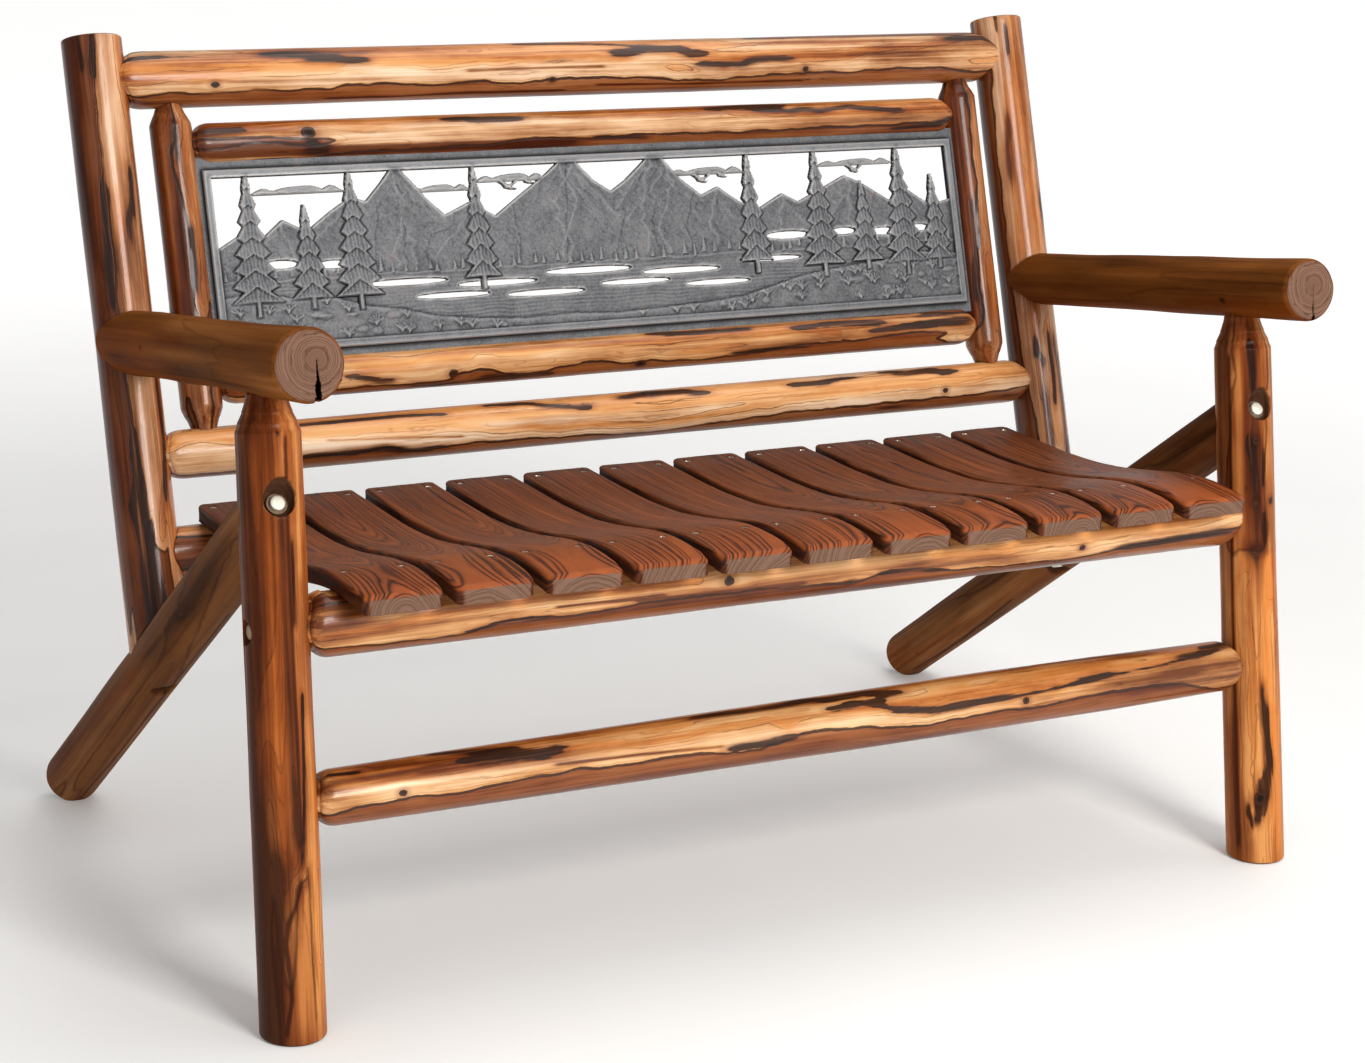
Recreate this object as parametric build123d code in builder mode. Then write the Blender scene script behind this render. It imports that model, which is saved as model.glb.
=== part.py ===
from build123d import *
import math
import os

# Rustic log bench, built from peeled round logs with coped and tenoned joints.
# Millimetres, +Z up, +Y to the back, +X to the right of someone who faces the bench.
# Origin: centre of the bounding box on the floor.

os.makedirs("parts", exist_ok=True)

# ---------------------------------------------------------------- driving dimensions
CX = -2.6  # shift that centres the bench on X
CY = -382.0  # Y of the line through both front feet

LEG_HALF = {-1: 600.0, 1: 598.2}  # centre line to each front foot
LEG_SPLAY = 0.01561  # the legs lean in by this much per mm of height
LEG_LEAN = 0.13941  # the legs lean back by this much per mm of height
LEG_SHOULDER_Z = 591.6  # height of the shoulder under the armrest
LEG_R_TOP, LEG_R_FOOT = 32.0, 33.1

POST_HALF = {-1: 590.7, 1: 588.8}  # centre line to each back post
POST_Y, POST_RAKE = 335.1, 0.3092  # back plane: y = POST_Y + POST_RAKE * z
POST_TOP_Z = 914.0
POST_R = {-1: 32.7, 1: 32.3}

ARM_FRONT_Y, ARM_FRONT_Z = -28.9, 676.1
ARM_REAR_Z = 598.0  # height at which an armrest meets its post

BRACE = {  # rear leg: foot end and top end of its axis, and radius
    -1: ((-592.4, 751.5, 24.5), (-592.9, 71.5, 513.0), 32.1),
    1: ((606.6, 776.4, 24.5), (591.4, 71.3, 511.4), 31.8),
}

TOP_RAIL_Z, LOWER_RAIL_Z = 868.7, 475.6
INNER_UP_Z, INNER_LOW_Z = 799.0, 546.1
STILE_X = {-1: -512.7, 1: 516.6}
STILE_R = 23.0
STILE_SHOULDER_Z = (521.8, 820.5)

FRONT_RAIL_Z, STRETCHER_Z = 400.3, 228.4
REAR_RAIL_Z, REAR_RAIL_R = 374.6, 28.2

SLAT_COUNT, SLAT_PITCH, SLAT_W, SLAT_T = 11, 97.86, 85.0, 19.0
SLAT_FRONT_Y, SLAT_REAR_Y = -17.0, 464.0
SLAT_TOP = [  # contour of the seat, (y, z) from the front edge to the back edge
    (-17.0, 443.4),
    (8.0, 446.3),
    (42.0, 448.3),
    (70.0, 447.6),
    (105.0, 443.8),
    (145.0, 436.9),
    (190.0, 429.3),
    (240.0, 423.2),
    (290.0, 420.4),
    (340.0, 419.9),
    (400.0, 421.4),
    (464.0, 423.2),
]
FRONT_FLAT_Z, REAR_FLAT_Z = 427.9, 402.6  # flats planed on the rails under the slats
SCREW_Y = (66.0, 446.0)
SCREW_INSET = 13.0

PANEL_X = (-486.7, 490.3)
PANEL_Z = (573.9, 770.2)
PANEL_FORWARD = 15.0  # front face of the panel in front of the back plane's axes
PANEL_T, PLATE_T, BORDER = 8.0, 5.0, 9.6

GAP = 0.25  # clearance round a cope or a tenon


# ---------------------------------------------------------------- reference points
def at(x, y, z):
    return Vector(x + CX, y + CY, z)


def leg_at(s, z):
    return at(s * (LEG_HALF[s] - LEG_SPLAY * z), LEG_LEAN * z, z)


def post_at(s, z):
    return at(s * POST_HALF[s], POST_Y + POST_RAKE * z, z)


def back_at(x, z):
    return at(x, POST_Y + POST_RAKE * z, z)


def arm_at(s, y):
    slope = (ARM_REAR_Z - ARM_FRONT_Z) / (POST_Y + POST_RAKE * ARM_REAR_Z - ARM_FRONT_Y)
    return at(s * POST_HALF[s], y, ARM_FRONT_Z + slope * (y - ARM_FRONT_Y))


def axis_plane(a, b):
    d = (b - a).normalized()
    side = Vector(1, 0, 0) if abs(d.X) < 0.7 else Vector(0, 0, 1)
    return Plane(origin=a, x_dir=d, z_dir=d.cross(side).normalized())


X_DIR, UP = Vector(1, 0, 0), Vector(0, 0, 1)
LEG_DIR = {s: (leg_at(s, 500) - leg_at(s, 0)).normalized() for s in (-1, 1)}
POST_DIR = Vector(0, POST_RAKE, 1).normalized()
BACK_NORMAL = Vector(0, -1, POST_RAKE).normalized()  # forward and up, square to the back
ARM_DIR = (arm_at(1, 500) - arm_at(1, 0)).normalized()


# ---------------------------------------------------------------- features used by many sub-parts
def log(a, b, swell, start, end):
    """A peeled log between a and b: outline points at each end, a smooth swell between."""
    with BuildSketch(axis_plane(a, b)) as outline:
        with BuildLine():
            Polyline((start[0][0], 0), *start)
            Spline(start[-1], *swell, end[0])
            Polyline(*end, (end[-1][0], 0))
            Line((end[-1][0], 0), (start[0][0], 0))
        make_face()
    revolve(outline.sketch, axis=Axis(a, b - a))


def eased(x, r, c, sign):
    """Outline of a log end whose rim is worn round by c: from the axis outwards."""
    pts = [(x, r - c)]
    for k in (1, 2, 3):
        t = math.radians(30 * k)
        pts.append((x + sign * c * (1 - math.cos(t)), r - c + c * math.sin(t)))
    return pts


def saddle(p, d, r, reach=150):
    """Takes out the round of a neighbouring log, so that this one sits on it."""
    with BuildSketch(Plane(origin=p - d.normalized() * reach, z_dir=d)) as ring:
        Circle(r)
    extrude(ring.sketch, amount=2 * reach, mode=Mode.SUBTRACT)


def bore(p, d, r, depth):
    with BuildSketch(Plane(origin=p, z_dir=d)) as ring:
        Circle(r)
    extrude(ring.sketch, amount=depth, mode=Mode.SUBTRACT)


def tenon(p, d, r, length):
    with BuildSketch(Plane(origin=p, z_dir=d)) as ring:
        Circle(r)
    extrude(ring.sketch, amount=length - 2)
    with BuildSketch(Plane(origin=p + d.normalized() * (length - 2), z_dir=d)) as tip:
        Circle(r)
    extrude(tip.sketch, amount=2, taper=40)


def trench(plane, w, h, depth):
    """A straight groove, cut from the plane along its normal."""
    with BuildSketch(plane) as strip:
        Rectangle(w, h)
    extrude(strip.sketch, amount=depth, mode=Mode.SUBTRACT)


def save(builder, name):
    builder.part.label = name
    export_step(builder.part, f"parts/{name}.step")


RAIL_TENON_R = 18.0
ARM_TENON_R, LEG_TENON_R = 18.0, 17.5
BOLT_R, HEAD_R, WASHER_R, POCKET_R = 4.8, 7.6, 10.8, 15.0

# ---------------------------------------------------------------- bolt stations
BRACE_DIR, BRACE_HIT, POST_END = {}, {}, {}
for s in (-1, 1):
    foot, top, r = BRACE[s]
    foot, top = at(*foot), at(*top)
    BRACE_DIR[s] = (top - foot).normalized()  # up and forward
    # where the post's axis crosses the rear leg's
    t = (post_at(s, 0).Y - foot.Y + POST_RAKE * foot.Z) / (
        BRACE_DIR[s].Y - POST_RAKE * BRACE_DIR[s].Z
    )
    BRACE_HIT[s] = foot + BRACE_DIR[s] * t
    POST_END[s] = post_at(s, BRACE_HIT[s].Z)

BRACE_HEAD = {s: at(*BRACE[s][1]) + BRACE_DIR[s] * 19.5 for s in (-1, 1)}
POST_HEAD = {s: POST_END[s] - POST_DIR * 20.0 for s in (-1, 1)}
RAIL_HEAD = {s: leg_at(s, FRONT_RAIL_Z) + X_DIR * (s * 22.0) for s in (-1, 1)}
ARM_HEAD = {s: post_at(s, ARM_REAR_Z) + ARM_DIR * 22.0 for s in (-1, 1)}

SLAT_X = [(i - (SLAT_COUNT - 1) / 2) * SLAT_PITCH for i in range(SLAT_COUNT)]


def seat_z(y):
    """Height of the seat's contour at y."""
    for (y0, z0), (y1, z1) in zip(SLAT_TOP, SLAT_TOP[1:]):
        if y <= y1:
            return z0 + (z1 - z0) * (y - y0) / (y1 - y0)
    return SLAT_TOP[-1][1]


def screw_spots(y):
    inset = SLAT_W / 2 - SCREW_INSET
    return [at(x + side * inset, y, 0) for x in SLAT_X for side in (-1, 1)]


# ---------------------------------------------------------------- front legs
for s, side in ((-1, "left"), (1, "right")):
    a, b = leg_at(s, -20), leg_at(s, LEG_SHOULDER_Z)
    n = (b - a).length
    with BuildPart() as front_leg:
        # round leg with a turned taper under the armrest and a round tenon on top
        log(
            a,
            b + (b - a).normalized() * 62,
            [(n * 0.3, 32.9), (n * 0.55, 32.2), (n * 0.8, 32.3)],
            [(0, LEG_R_FOOT - 1), (0.5, LEG_R_FOOT)],
            [
                (n, LEG_R_TOP),
                (n + 6, LEG_R_TOP - 2.6),
                (n + 9, LEG_R_TOP - 3.0),
                (n + 17, LEG_R_TOP - 7.4),
                (n + 20, LEG_R_TOP - 7.8),
                (n + 30, 20.6),
                (n + 36, 19.4),
                (n + 36, LEG_TENON_R),
                (n + 60, LEG_TENON_R),
                (n + 62, LEG_TENON_R - 2),
            ],
        )
        # the foot is sawn level with the floor
        split(bisect_by=Plane.XY, keep=Keep.TOP)
        chamfer(front_leg.edges().group_by(Axis.Z)[0], 2.5)
        # mortises for the seat rail, the stretcher and the rear leg
        bore(leg_at(s, FRONT_RAIL_Z) - X_DIR * (s * 4), X_DIR * -s, RAIL_TENON_R + GAP, 60)
        bore(leg_at(s, STRETCHER_Z) - X_DIR * (s * 6), X_DIR * -s, RAIL_TENON_R + GAP, 60)
        top = at(*BRACE[s][1])
        bore(top - BRACE_DIR[s] * 8, BRACE_DIR[s] * -1, RAIL_TENON_R + GAP, 60)
        # pocket and clearance hole for the rear leg's bolt, from the front
        bore(BRACE_HEAD[s], BRACE_DIR[s], POCKET_R, 60)
        bore(BRACE_HEAD[s] - BRACE_DIR[s] * 40, BRACE_DIR[s], BOLT_R + GAP, 60)
        # pocket and clearance hole for the seat rail's bolt, from the outer side
        bore(RAIL_HEAD[s], X_DIR * s, POCKET_R - 3, 60)
        bore(RAIL_HEAD[s] - X_DIR * (s * 40), X_DIR * s, BOLT_R + GAP, 60)
    save(front_leg, f"front_leg_{side}")

# ---------------------------------------------------------------- rear legs (long diagonals)
for s, side in ((-1, "left"), (1, "right")):
    foot, top, r = BRACE[s]
    foot, top = at(*foot) - BRACE_DIR[s] * 7.0, at(*top)
    n = (top - foot).length
    with BuildPart() as rear_leg:
        log(
            foot,
            top,
            [(n * 0.25, r + 0.2), (n * 0.5, r - 0.2), (n * 0.75, r + 0.1)],
            eased(0, r, 8, 1),
            [(n - 9, r), (n - 9, 12)],
        )
        # sits against the round of the front leg, with a tenon into it
        saddle(leg_at(s, 500), LEG_DIR[s], LEG_R_TOP + 0.6 + GAP)
        tenon(top - BRACE_DIR[s] * 60, BRACE_DIR[s], RAIL_TENON_R, 51)
        # foot is worn flat where it stands on the floor
        split(bisect_by=Plane.XY, keep=Keep.TOP)
        # mortise for the back post and pocket for its bolt, from below
        bore(POST_END[s] + POST_DIR * 14, POST_DIR, 15.0 + GAP, 60)
        bore(POST_HEAD[s], POST_DIR * -1, POCKET_R, 60)
        bore(POST_HEAD[s] - POST_DIR * 2, POST_DIR, BOLT_R + GAP, 60)
        # pilot hole for the bolt in the top end
        bore(top + BRACE_DIR[s] * 5, BRACE_DIR[s] * -1, BOLT_R + GAP, 100)
    save(rear_leg, f"rear_leg_{side}")

# ---------------------------------------------------------------- back posts
for s, side in ((-1, "left"), (1, "right")):
    r = POST_R[s]
    a, b = POST_END[s] + POST_DIR * 20, post_at(s, POST_TOP_Z)
    n = (b - a).length
    with BuildPart() as back_post:
        log(
            a,
            b,
            [(n * 0.25, r + 0.1), (n * 0.5, r - 0.4), (n * 0.75, r + 0.2)],
            [(0, r - 2), (2, r)],
            eased(n, r, 3.5, -1)[::-1],
        )
        # sits astride the rear leg, with a tenon into it
        saddle(BRACE_HIT[s], BRACE_DIR[s], BRACE[s][2] + 0.3 + GAP)
        tenon(POST_END[s] + POST_DIR * 60, POST_DIR * -1, 15.0, 44)
        bore(POST_END[s] + POST_DIR * 10, POST_DIR, BOLT_R + GAP, 90)
        # mortises for the three rails, from the inner side
        for z, rt in (
            (TOP_RAIL_Z, RAIL_TENON_R),
            (LOWER_RAIL_Z, 16.0),
            (REAR_RAIL_Z, 16.0),
        ):
            bore(post_at(s, z) - X_DIR * (s * 6), X_DIR * -s, rt + GAP, 60)
        # mortise for the armrest and the pocket for its bolt at the back
        bore(post_at(s, ARM_REAR_Z) - ARM_DIR * 6, ARM_DIR * -1, ARM_TENON_R + GAP, 60)
        bore(ARM_HEAD[s], ARM_DIR, POCKET_R - 3, 60)
        bore(ARM_HEAD[s] - ARM_DIR * 40, ARM_DIR, BOLT_R + GAP, 60)
    save(back_post, f"back_post_{side}")

# ---------------------------------------------------------------- armrests
ARM_R = {-1: (37.0, 35.4, 34.4, 35.6, 36.4), 1: (36.0, 35.0, 34.2, 33.4, 33.2)}
for s, side in ((-1, "left"), (1, "right")):
    r0, r1, r2, r3, r4 = ARM_R[s]
    a = arm_at(s, ARM_FRONT_Y)
    b = post_at(s, ARM_REAR_Z)
    n = (b - a).length
    with BuildPart() as armrest:
        log(
            a,
            b,
            [(n * 0.28, r1), (n * 0.5, r2), (n * 0.75, r3)],
            eased(0, r0, 7, 1),
            [(n - 4, r4), (n - 3, r4 - 1)],
        )
        # coped round the back post, with a tenon into it
        saddle(post_at(s, ARM_REAR_Z), POST_DIR, POST_R[s] + 0.3 + GAP)
        tenon(b - ARM_DIR * 70, ARM_DIR, ARM_TENON_R, 62)
        bore(b + ARM_DIR * 5, ARM_DIR * -1, BOLT_R + GAP, 110)
        # mortise from below for the front leg
        bore(leg_at(s, LEG_SHOULDER_Z) + LEG_DIR[s] * 10, LEG_DIR[s], LEG_TENON_R + GAP, 54)
        saddle_cut = leg_at(s, LEG_SHOULDER_Z)
        with BuildSketch(axis_plane(saddle_cut, saddle_cut + LEG_DIR[s] * 100)):
            with BuildLine():
                Polyline((0, 0), (0, 33), (36.4, 19.9), (36.4, 0), (0, 0))
            make_face()
        revolve(axis=Axis(saddle_cut, LEG_DIR[s]), mode=Mode.SUBTRACT)
    save(armrest, f"armrest_{side}")


# ---------------------------------------------------------------- rails between the sides
def cross_log(left, right, trim, radii, end_r):
    """A rail from left to right with eased ends; its saddles and tenons follow."""
    a, b = left + X_DIR * trim, right - X_DIR * trim
    n = (b - a).length
    log(
        a,
        b,
        [(n * k, r) for k, r in radii],
        [(0, end_r[0] - 2), (1.5, end_r[0])],
        [(n - 1.5, end_r[1]), (n, end_r[1] - 2)],
    )


with BuildPart() as front_seat_rail:
    left, right = leg_at(-1, FRONT_RAIL_Z), leg_at(1, FRONT_RAIL_Z)
    cross_log(
        left, right, 11, [(0.25, 33.6), (0.5, 33.0), (0.75, 32.6)], (33.4, 32.6)
    )
    for s, p in ((-1, left), (1, right)):
        saddle(p, LEG_DIR[s], LEG_R_TOP + 0.9 + GAP)
        tenon(p - X_DIR * (s * 70), X_DIR * s, RAIL_TENON_R, 65)
        bore(p + X_DIR * (s * 5), X_DIR * -s, BOLT_R + GAP, 110)
    # flat planed for the slats, with a pilot hole under each front screw
    trench(
        Plane(origin=at(0, LEG_LEAN * FRONT_RAIL_Z, FRONT_FLAT_Z), z_dir=UP),
        1085,
        60,
        20,
    )
    with BuildSketch(Plane.XY.offset(FRONT_FLAT_Z - 24)):
        with Locations(*[(p.X, p.Y) for p in screw_spots(SCREW_Y[0])]):
            Circle(2.1)
    extrude(amount=24, mode=Mode.SUBTRACT)
save(front_seat_rail, "front_seat_rail")

with BuildPart() as front_stretcher:
    left, right = leg_at(-1, STRETCHER_Z), leg_at(1, STRETCHER_Z)
    cross_log(
        left,
        right,
        13,
        [(0.12, 29.3), (0.35, 30.6), (0.65, 31.8), (0.82, 31.0)],
        (28.0, 28.6),
    )
    for s, p in ((-1, left), (1, right)):
        saddle(p, LEG_DIR[s], LEG_R_TOP + 1.1 + GAP)
        tenon(p - X_DIR * (s * 70), X_DIR * s, RAIL_TENON_R, 63)
save(front_stretcher, "front_stretcher")

with BuildPart() as rear_seat_rail:
    left, right = post_at(-1, REAR_RAIL_Z), post_at(1, REAR_RAIL_Z)
    cross_log(
        left,
        right,
        13,
        [(0.25, 28.4), (0.5, 28.0), (0.75, 28.3)],
        (REAR_RAIL_R, REAR_RAIL_R),
    )
    for s, p in ((-1, left), (1, right)):
        saddle(p, POST_DIR, POST_R[s] + 0.3 + GAP)
        tenon(p - X_DIR * (s * 70), X_DIR * s, 16.0, 63)
    trench(
        Plane(origin=back_at(0, REAR_RAIL_Z) + UP * (REAR_FLAT_Z - REAR_RAIL_Z), z_dir=UP),
        1090,
        60,
        20,
    )
    with BuildSketch(Plane.XY.offset(REAR_FLAT_Z - 24)):
        with Locations(*[(p.X, p.Y) for p in screw_spots(SCREW_Y[1])]):
            Circle(2.1)
    extrude(amount=24, mode=Mode.SUBTRACT)
save(rear_seat_rail, "rear_seat_rail")

for name, z, radii, ends, rt in (
    (
        "back_top_rail",
        TOP_RAIL_Z,
        [(0.25, 30.9), (0.5, 31.2), (0.75, 31.6)],
        (31.6, 31.4),
        RAIL_TENON_R,
    ),
    (
        "back_lower_rail",
        LOWER_RAIL_Z,
        [(0.25, 27.5), (0.5, 27.0), (0.75, 26.8)],
        (27.2, 26.8),
        16.0,
    ),
):
    with BuildPart() as rail:
        left, right = post_at(-1, z), post_at(1, z)
        cross_log(left, right, 12, radii, ends)
        for s, p in ((-1, left), (1, right)):
            saddle(p, POST_DIR, POST_R[s] + 0.3 + GAP)
            tenon(p - X_DIR * (s * 70), X_DIR * s, rt, 63)
            # mortise for the inner stile
            q = back_at(STILE_X[s], z)
            up = POST_DIR if z < 700 else POST_DIR * -1
            bore(q + up * 10, up, 11.0 + GAP, 60)
    save(rail, name)

# ---------------------------------------------------------------- inner frame round the panel
FLANGE = {
    "x0": STILE_X[-1] + 20.9 - 4.5,
    "x1": STILE_X[1] - 20.9 + 4.5,
    "v0": INNER_LOW_Z + 17.0 * POST_DIR.dot(UP),
    "v1": INNER_UP_Z - 17.0 * POST_DIR.dot(UP),
}
FLANGE_BACK, FLANGE_T = 7.5, 3.0  # the flange starts this far in front of the axes


def back_plane(x, z, forward):
    """Plane square to the back: x along the bench, y up the back, normal to the front."""
    return Plane(origin=back_at(x, z) + BACK_NORMAL * forward, x_dir=X_DIR, z_dir=BACK_NORMAL)


COS_BACK = POST_DIR.dot(UP)
FL_XC, FL_ZC = (FLANGE["x0"] + FLANGE["x1"]) / 2, (FLANGE["v0"] + FLANGE["v1"]) / 2
FL_W, FL_H = FLANGE["x1"] - FLANGE["x0"], (FLANGE["v1"] - FLANGE["v0"]) / COS_BACK

for s, side in ((-1, "left"), (1, "right")):
    x = STILE_X[s]
    z0, z1 = STILE_SHOULDER_Z
    a, b = back_at(x, LOWER_RAIL_Z), back_at(x, TOP_RAIL_Z)
    n = (b - a).length
    lo, hi = (back_at(x, z0) - a).length, (back_at(x, z1) - a).length
    with BuildPart() as stile:
        # round stile, turned to a blunt point at both ends
        log(
            a,
            b,
            [(n * 0.35, STILE_R + 0.3), (n * 0.65, STILE_R - 0.2)],
            [
                (0, 13.6),
                (27, 14.4),
                (lo - 12, 17.6),
                (lo - 11, 18.6),
                (lo - 3, 21.8),
                (lo, STILE_R),
            ],
            [
                (hi, STILE_R),
                (hi + 3, 21.8),
                (hi + 10, 18.4),
                (hi + 11, 17.4),
                (n - 31, 14.4),
                (n, 13.6),
            ],
        )
        saddle(a, X_DIR, 27.5 + GAP)
        saddle(b, X_DIR, 31.6 + GAP)
        tenon(a + POST_DIR * 50, POST_DIR * -1, 11.0, 38)
        tenon(b - POST_DIR * 50, POST_DIR, 11.0, 34)
        # mortises for the inner rails, from the panel's side
        for z in (INNER_UP_Z, INNER_LOW_Z):
            bore(back_at(x, z) - X_DIR * (s * 4), X_DIR * -s, 12.0 + GAP, 40)
        # groove for the panel's flange
        trench(
            back_plane(FL_XC, FL_ZC, FLANGE_BACK - 0.4),
            FL_W + 1.0,
            FL_H + 1.0,
            FLANGE_T + 0.8,
        )
    save(stile, f"inner_stile_{side}")

for name, z, radii, ends in (
    ("inner_upper_rail", INNER_UP_Z, [(0.3, 23.4), (0.7, 22.8)], (23.4, 22.8)),
    ("inner_lower_rail", INNER_LOW_Z, [(0.3, 23.0), (0.7, 22.8)], (23.0, 22.7)),
):
    with BuildPart() as rail:
        left, right = back_at(STILE_X[-1], z), back_at(STILE_X[1], z)
        cross_log(left, right, 7, radii, ends)
        for s, p in ((-1, left), (1, right)):
            saddle(p, POST_DIR, STILE_R + 0.4 + GAP)
            tenon(p - X_DIR * (s * 50), X_DIR * s, 12.0, 45)
        trench(
            back_plane(FL_XC, FL_ZC, FLANGE_BACK - 0.4),
            FL_W + 1.0,
            FL_H + 1.0,
            FLANGE_T + 0.8,
        )
    save(rail, name)

# ---------------------------------------------------------------- cast panel
PANEL_W = PANEL_X[1] - PANEL_X[0]
PANEL_H = (PANEL_Z[1] - PANEL_Z[0]) / COS_BACK
PANEL_XC, PANEL_ZC = sum(PANEL_X) / 2, sum(PANEL_Z) / 2
PANEL_BACK = PANEL_FORWARD - PANEL_T
OPEN_W, OPEN_H = PANEL_W - 2 * BORDER, PANEL_H - 2 * BORDER

# scene in openwork: a mountain range over a lake, with pines, clouds and geese
RIDGE = [
    (-481, 14), (-452, 30), (-430, 22), (-402, 44), (-374, 30), (-345, 50), (-318, 66),
    (-300, 60), (-280, 80), (-266, 96), (-256, 96), (-240, 78), (-226, 60), (-205, 40),
    (-172, 54), (-142, 36), (-106, 60), (-72, 82), (-54, 96), (-34, 96), (-12, 72),
    (10, 58), (30, 70), (50, 86), (62, 96), (80, 96), (102, 70), (130, 48), (152, 57),
    (180, 38), (206, 28), (240, 45), (262, 34), (300, 50), (330, 63), (352, 54),
    (392, 30), (420, 41), (450, 22), (481, 28),
]  # fmt: skip
BANK = [
    (-481, -40), (-440, -36), (-400, -44), (-350, -46), (-310, -58), (-270, -64),
    (-230, -74), (-180, -80), (-120, -84), (-60, -82), (0, -85), (60, -83), (120, -80),
    (170, -76), (215, -66), (255, -56), (300, -50), (345, -46), (390, -42), (430, -36),
    (481, -40),
]  # fmt: skip
PINES = [  # u, v of the foot, height, width, tiers
    (-440, -64, 163, 62, 8), (-375, -58, 118, 50, 6), (-318, -62, 161, 58, 8),
    (-165, -48, 147, 46, 7), (196, -50, 149, 48, 7), (290, -60, 159, 58, 8),
    (352, -54, 110, 46, 6), (408, -64, 163, 60, 8), (455, -58, 118, 44, 6),
]  # fmt: skip
SLOTS = [  # u, v, half length, half height: glints on the lake, then gaps in the mist
    (-262, -34, 52, 3.4), (-148, -41, 50, 3.2), (-30, -33, 56, 3.6), (92, -40, 52, 3.4),
    (214, -33, 44, 3.0), (-205, -52, 46, 3.0), (-88, -56, 50, 3.2), (30, -50, 46, 3.0),
    (140, -57, 44, 3.0), (-408, -6, 20, 4.5), (-346, -9, 18, 4.5), (243, -6, 30, 4.5),
    (322, -5, 17, 4.0), (379, -8, 18, 4.5), (432, -6, 14, 4.0),
]  # fmt: skip
CLOUDS = [  # u from, u to, v of the underside, height
    (-436, -322, 72, 9), (-250, -168, 67, 8), (-162, -70, 75, 9), (88, 194, 72, 9),
    (294, 404, 75, 8),
]  # fmt: skip
GEESE = [(-122, 69, 1.0), (-96, 74, 0.8), (132, 66, 1.0), (160, 70.5, 0.8), (346, 69, 0.9)]


def pine(u, v, h, w, tiers):
    side = [(3.2, 0), (3.2, 0.1 * h)]
    for k in range(tiers):
        y = h * (0.1 + 0.9 * k / tiers)
        half = w / 2 * (1 - k / tiers) ** 0.85
        side += [(half, y), (max(half * 0.5, 1.8), y + h * 0.62 / tiers)]
    side.append((1.6, h))
    return [(u + a, v + b) for a, b in side] + [(u - a, v + b) for a, b in side[::-1]]


def lens(u, v, a, b):
    pts = [(u + a * math.cos(t), v + b * math.sin(t)) for t in (math.pi * k / 10 for k in range(20))]
    return pts


def cloud(u0, u1, v, h):
    n = 24
    top = []
    for k in range(n + 1):
        t = k / n
        bump = 0.45 + 0.55 * abs(math.sin(math.pi * (3.0 * t + 0.3 * math.sin(7 * t))))
        top.append((u0 + (u1 - u0) * t, v + h * bump * min(1.0, 0.35 + 4 * min(t, 1 - t))))
    return [(u0, v)] + top + [(u1, v)]


def goose(u, v, k):
    pts = [
        (-13, 7), (-8, 9), (-3, 4.5), (0, 2.4), (6, 3.4), (11, 8.5), (15, 8), (10, 3.2),
        (4, -0.6), (12, -2.6), (13, -4.0), (3, -3.4), (-4, -1.6), (-6, 2.0),
    ]  # fmt: skip
    return [(u + k * a, v + k * b) for a, b in pts]


with BuildPart() as cast_panel:
    # flange let into the grooves of the inner frame
    with BuildSketch(back_plane(FL_XC, FL_ZC, FLANGE_BACK)):
        Rectangle(FL_W, FL_H)
    extrude(amount=FLANGE_T)
    # raised border
    with BuildSketch(back_plane(PANEL_XC, PANEL_ZC, PANEL_BACK)):
        Rectangle(PANEL_W, PANEL_H)
    extrude(amount=PANEL_T)
    with BuildSketch(back_plane(PANEL_XC, PANEL_ZC, PANEL_BACK - 5)):
        Rectangle(OPEN_W, OPEN_H)
    extrude(amount=PANEL_T + 10, mode=Mode.SUBTRACT)
    chamfer(cast_panel.faces().sort_by(Axis(at(0, 0, 0), BACK_NORMAL))[-1].edges(), 0.8)
    # mountains and lake, pierced by glints and mist
    with BuildSketch(back_plane(PANEL_XC, PANEL_ZC, PANEL_BACK)):
        with BuildLine():
            Polyline(*RIDGE, (481, -95), (-481, -95), close=True)
        make_face()
        for slot in SLOTS:
            with BuildLine():
                Polyline(*lens(*slot), close=True)
            make_face(mode=Mode.SUBTRACT)
    extrude(amount=PLATE_T)
    # clouds and geese
    with BuildSketch(back_plane(PANEL_XC, PANEL_ZC, PANEL_BACK)):
        for c in CLOUDS:
            with BuildLine():
                Polyline(*cloud(*c), close=True)
            make_face()
        for g in GEESE:
            with BuildLine():
                Polyline(*goose(*g), close=True)
            make_face()
    extrude(amount=PLATE_T + 1)
    # shore
    with BuildSketch(back_plane(PANEL_XC, PANEL_ZC, PANEL_BACK)):
        with BuildLine():
            Polyline(*BANK, (481, -95), (-481, -95), close=True)
        make_face()
    extrude(amount=PLATE_T + 1.4)
    # pines
    with BuildSketch(back_plane(PANEL_XC, PANEL_ZC, PANEL_BACK)):
        for t in PINES:
            with BuildLine():
                Polyline(*pine(*t), close=True)
            make_face()
    extrude(amount=PANEL_T - 1)
save(cast_panel, "cast_panel")

# ---------------------------------------------------------------- seat slats
def slat_outline():
    """Top and underside of the slat, parallel curves SLAT_T apart."""
    top = [(y + CY, z) for y, z in SLAT_TOP]
    under = []
    for k, (y, z) in enumerate(top):
        y0, z0 = top[max(k - 1, 0)]
        y1, z1 = top[min(k + 1, len(top) - 1)]
        m = math.hypot(y1 - y0, z1 - z0)
        under.append((y + (z1 - z0) / m * SLAT_T, z - (y1 - y0) / m * SLAT_T))
    under[0] = (top[0][0], under[0][1])
    under[-1] = (top[-1][0], under[-1][1])
    return top, under


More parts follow.
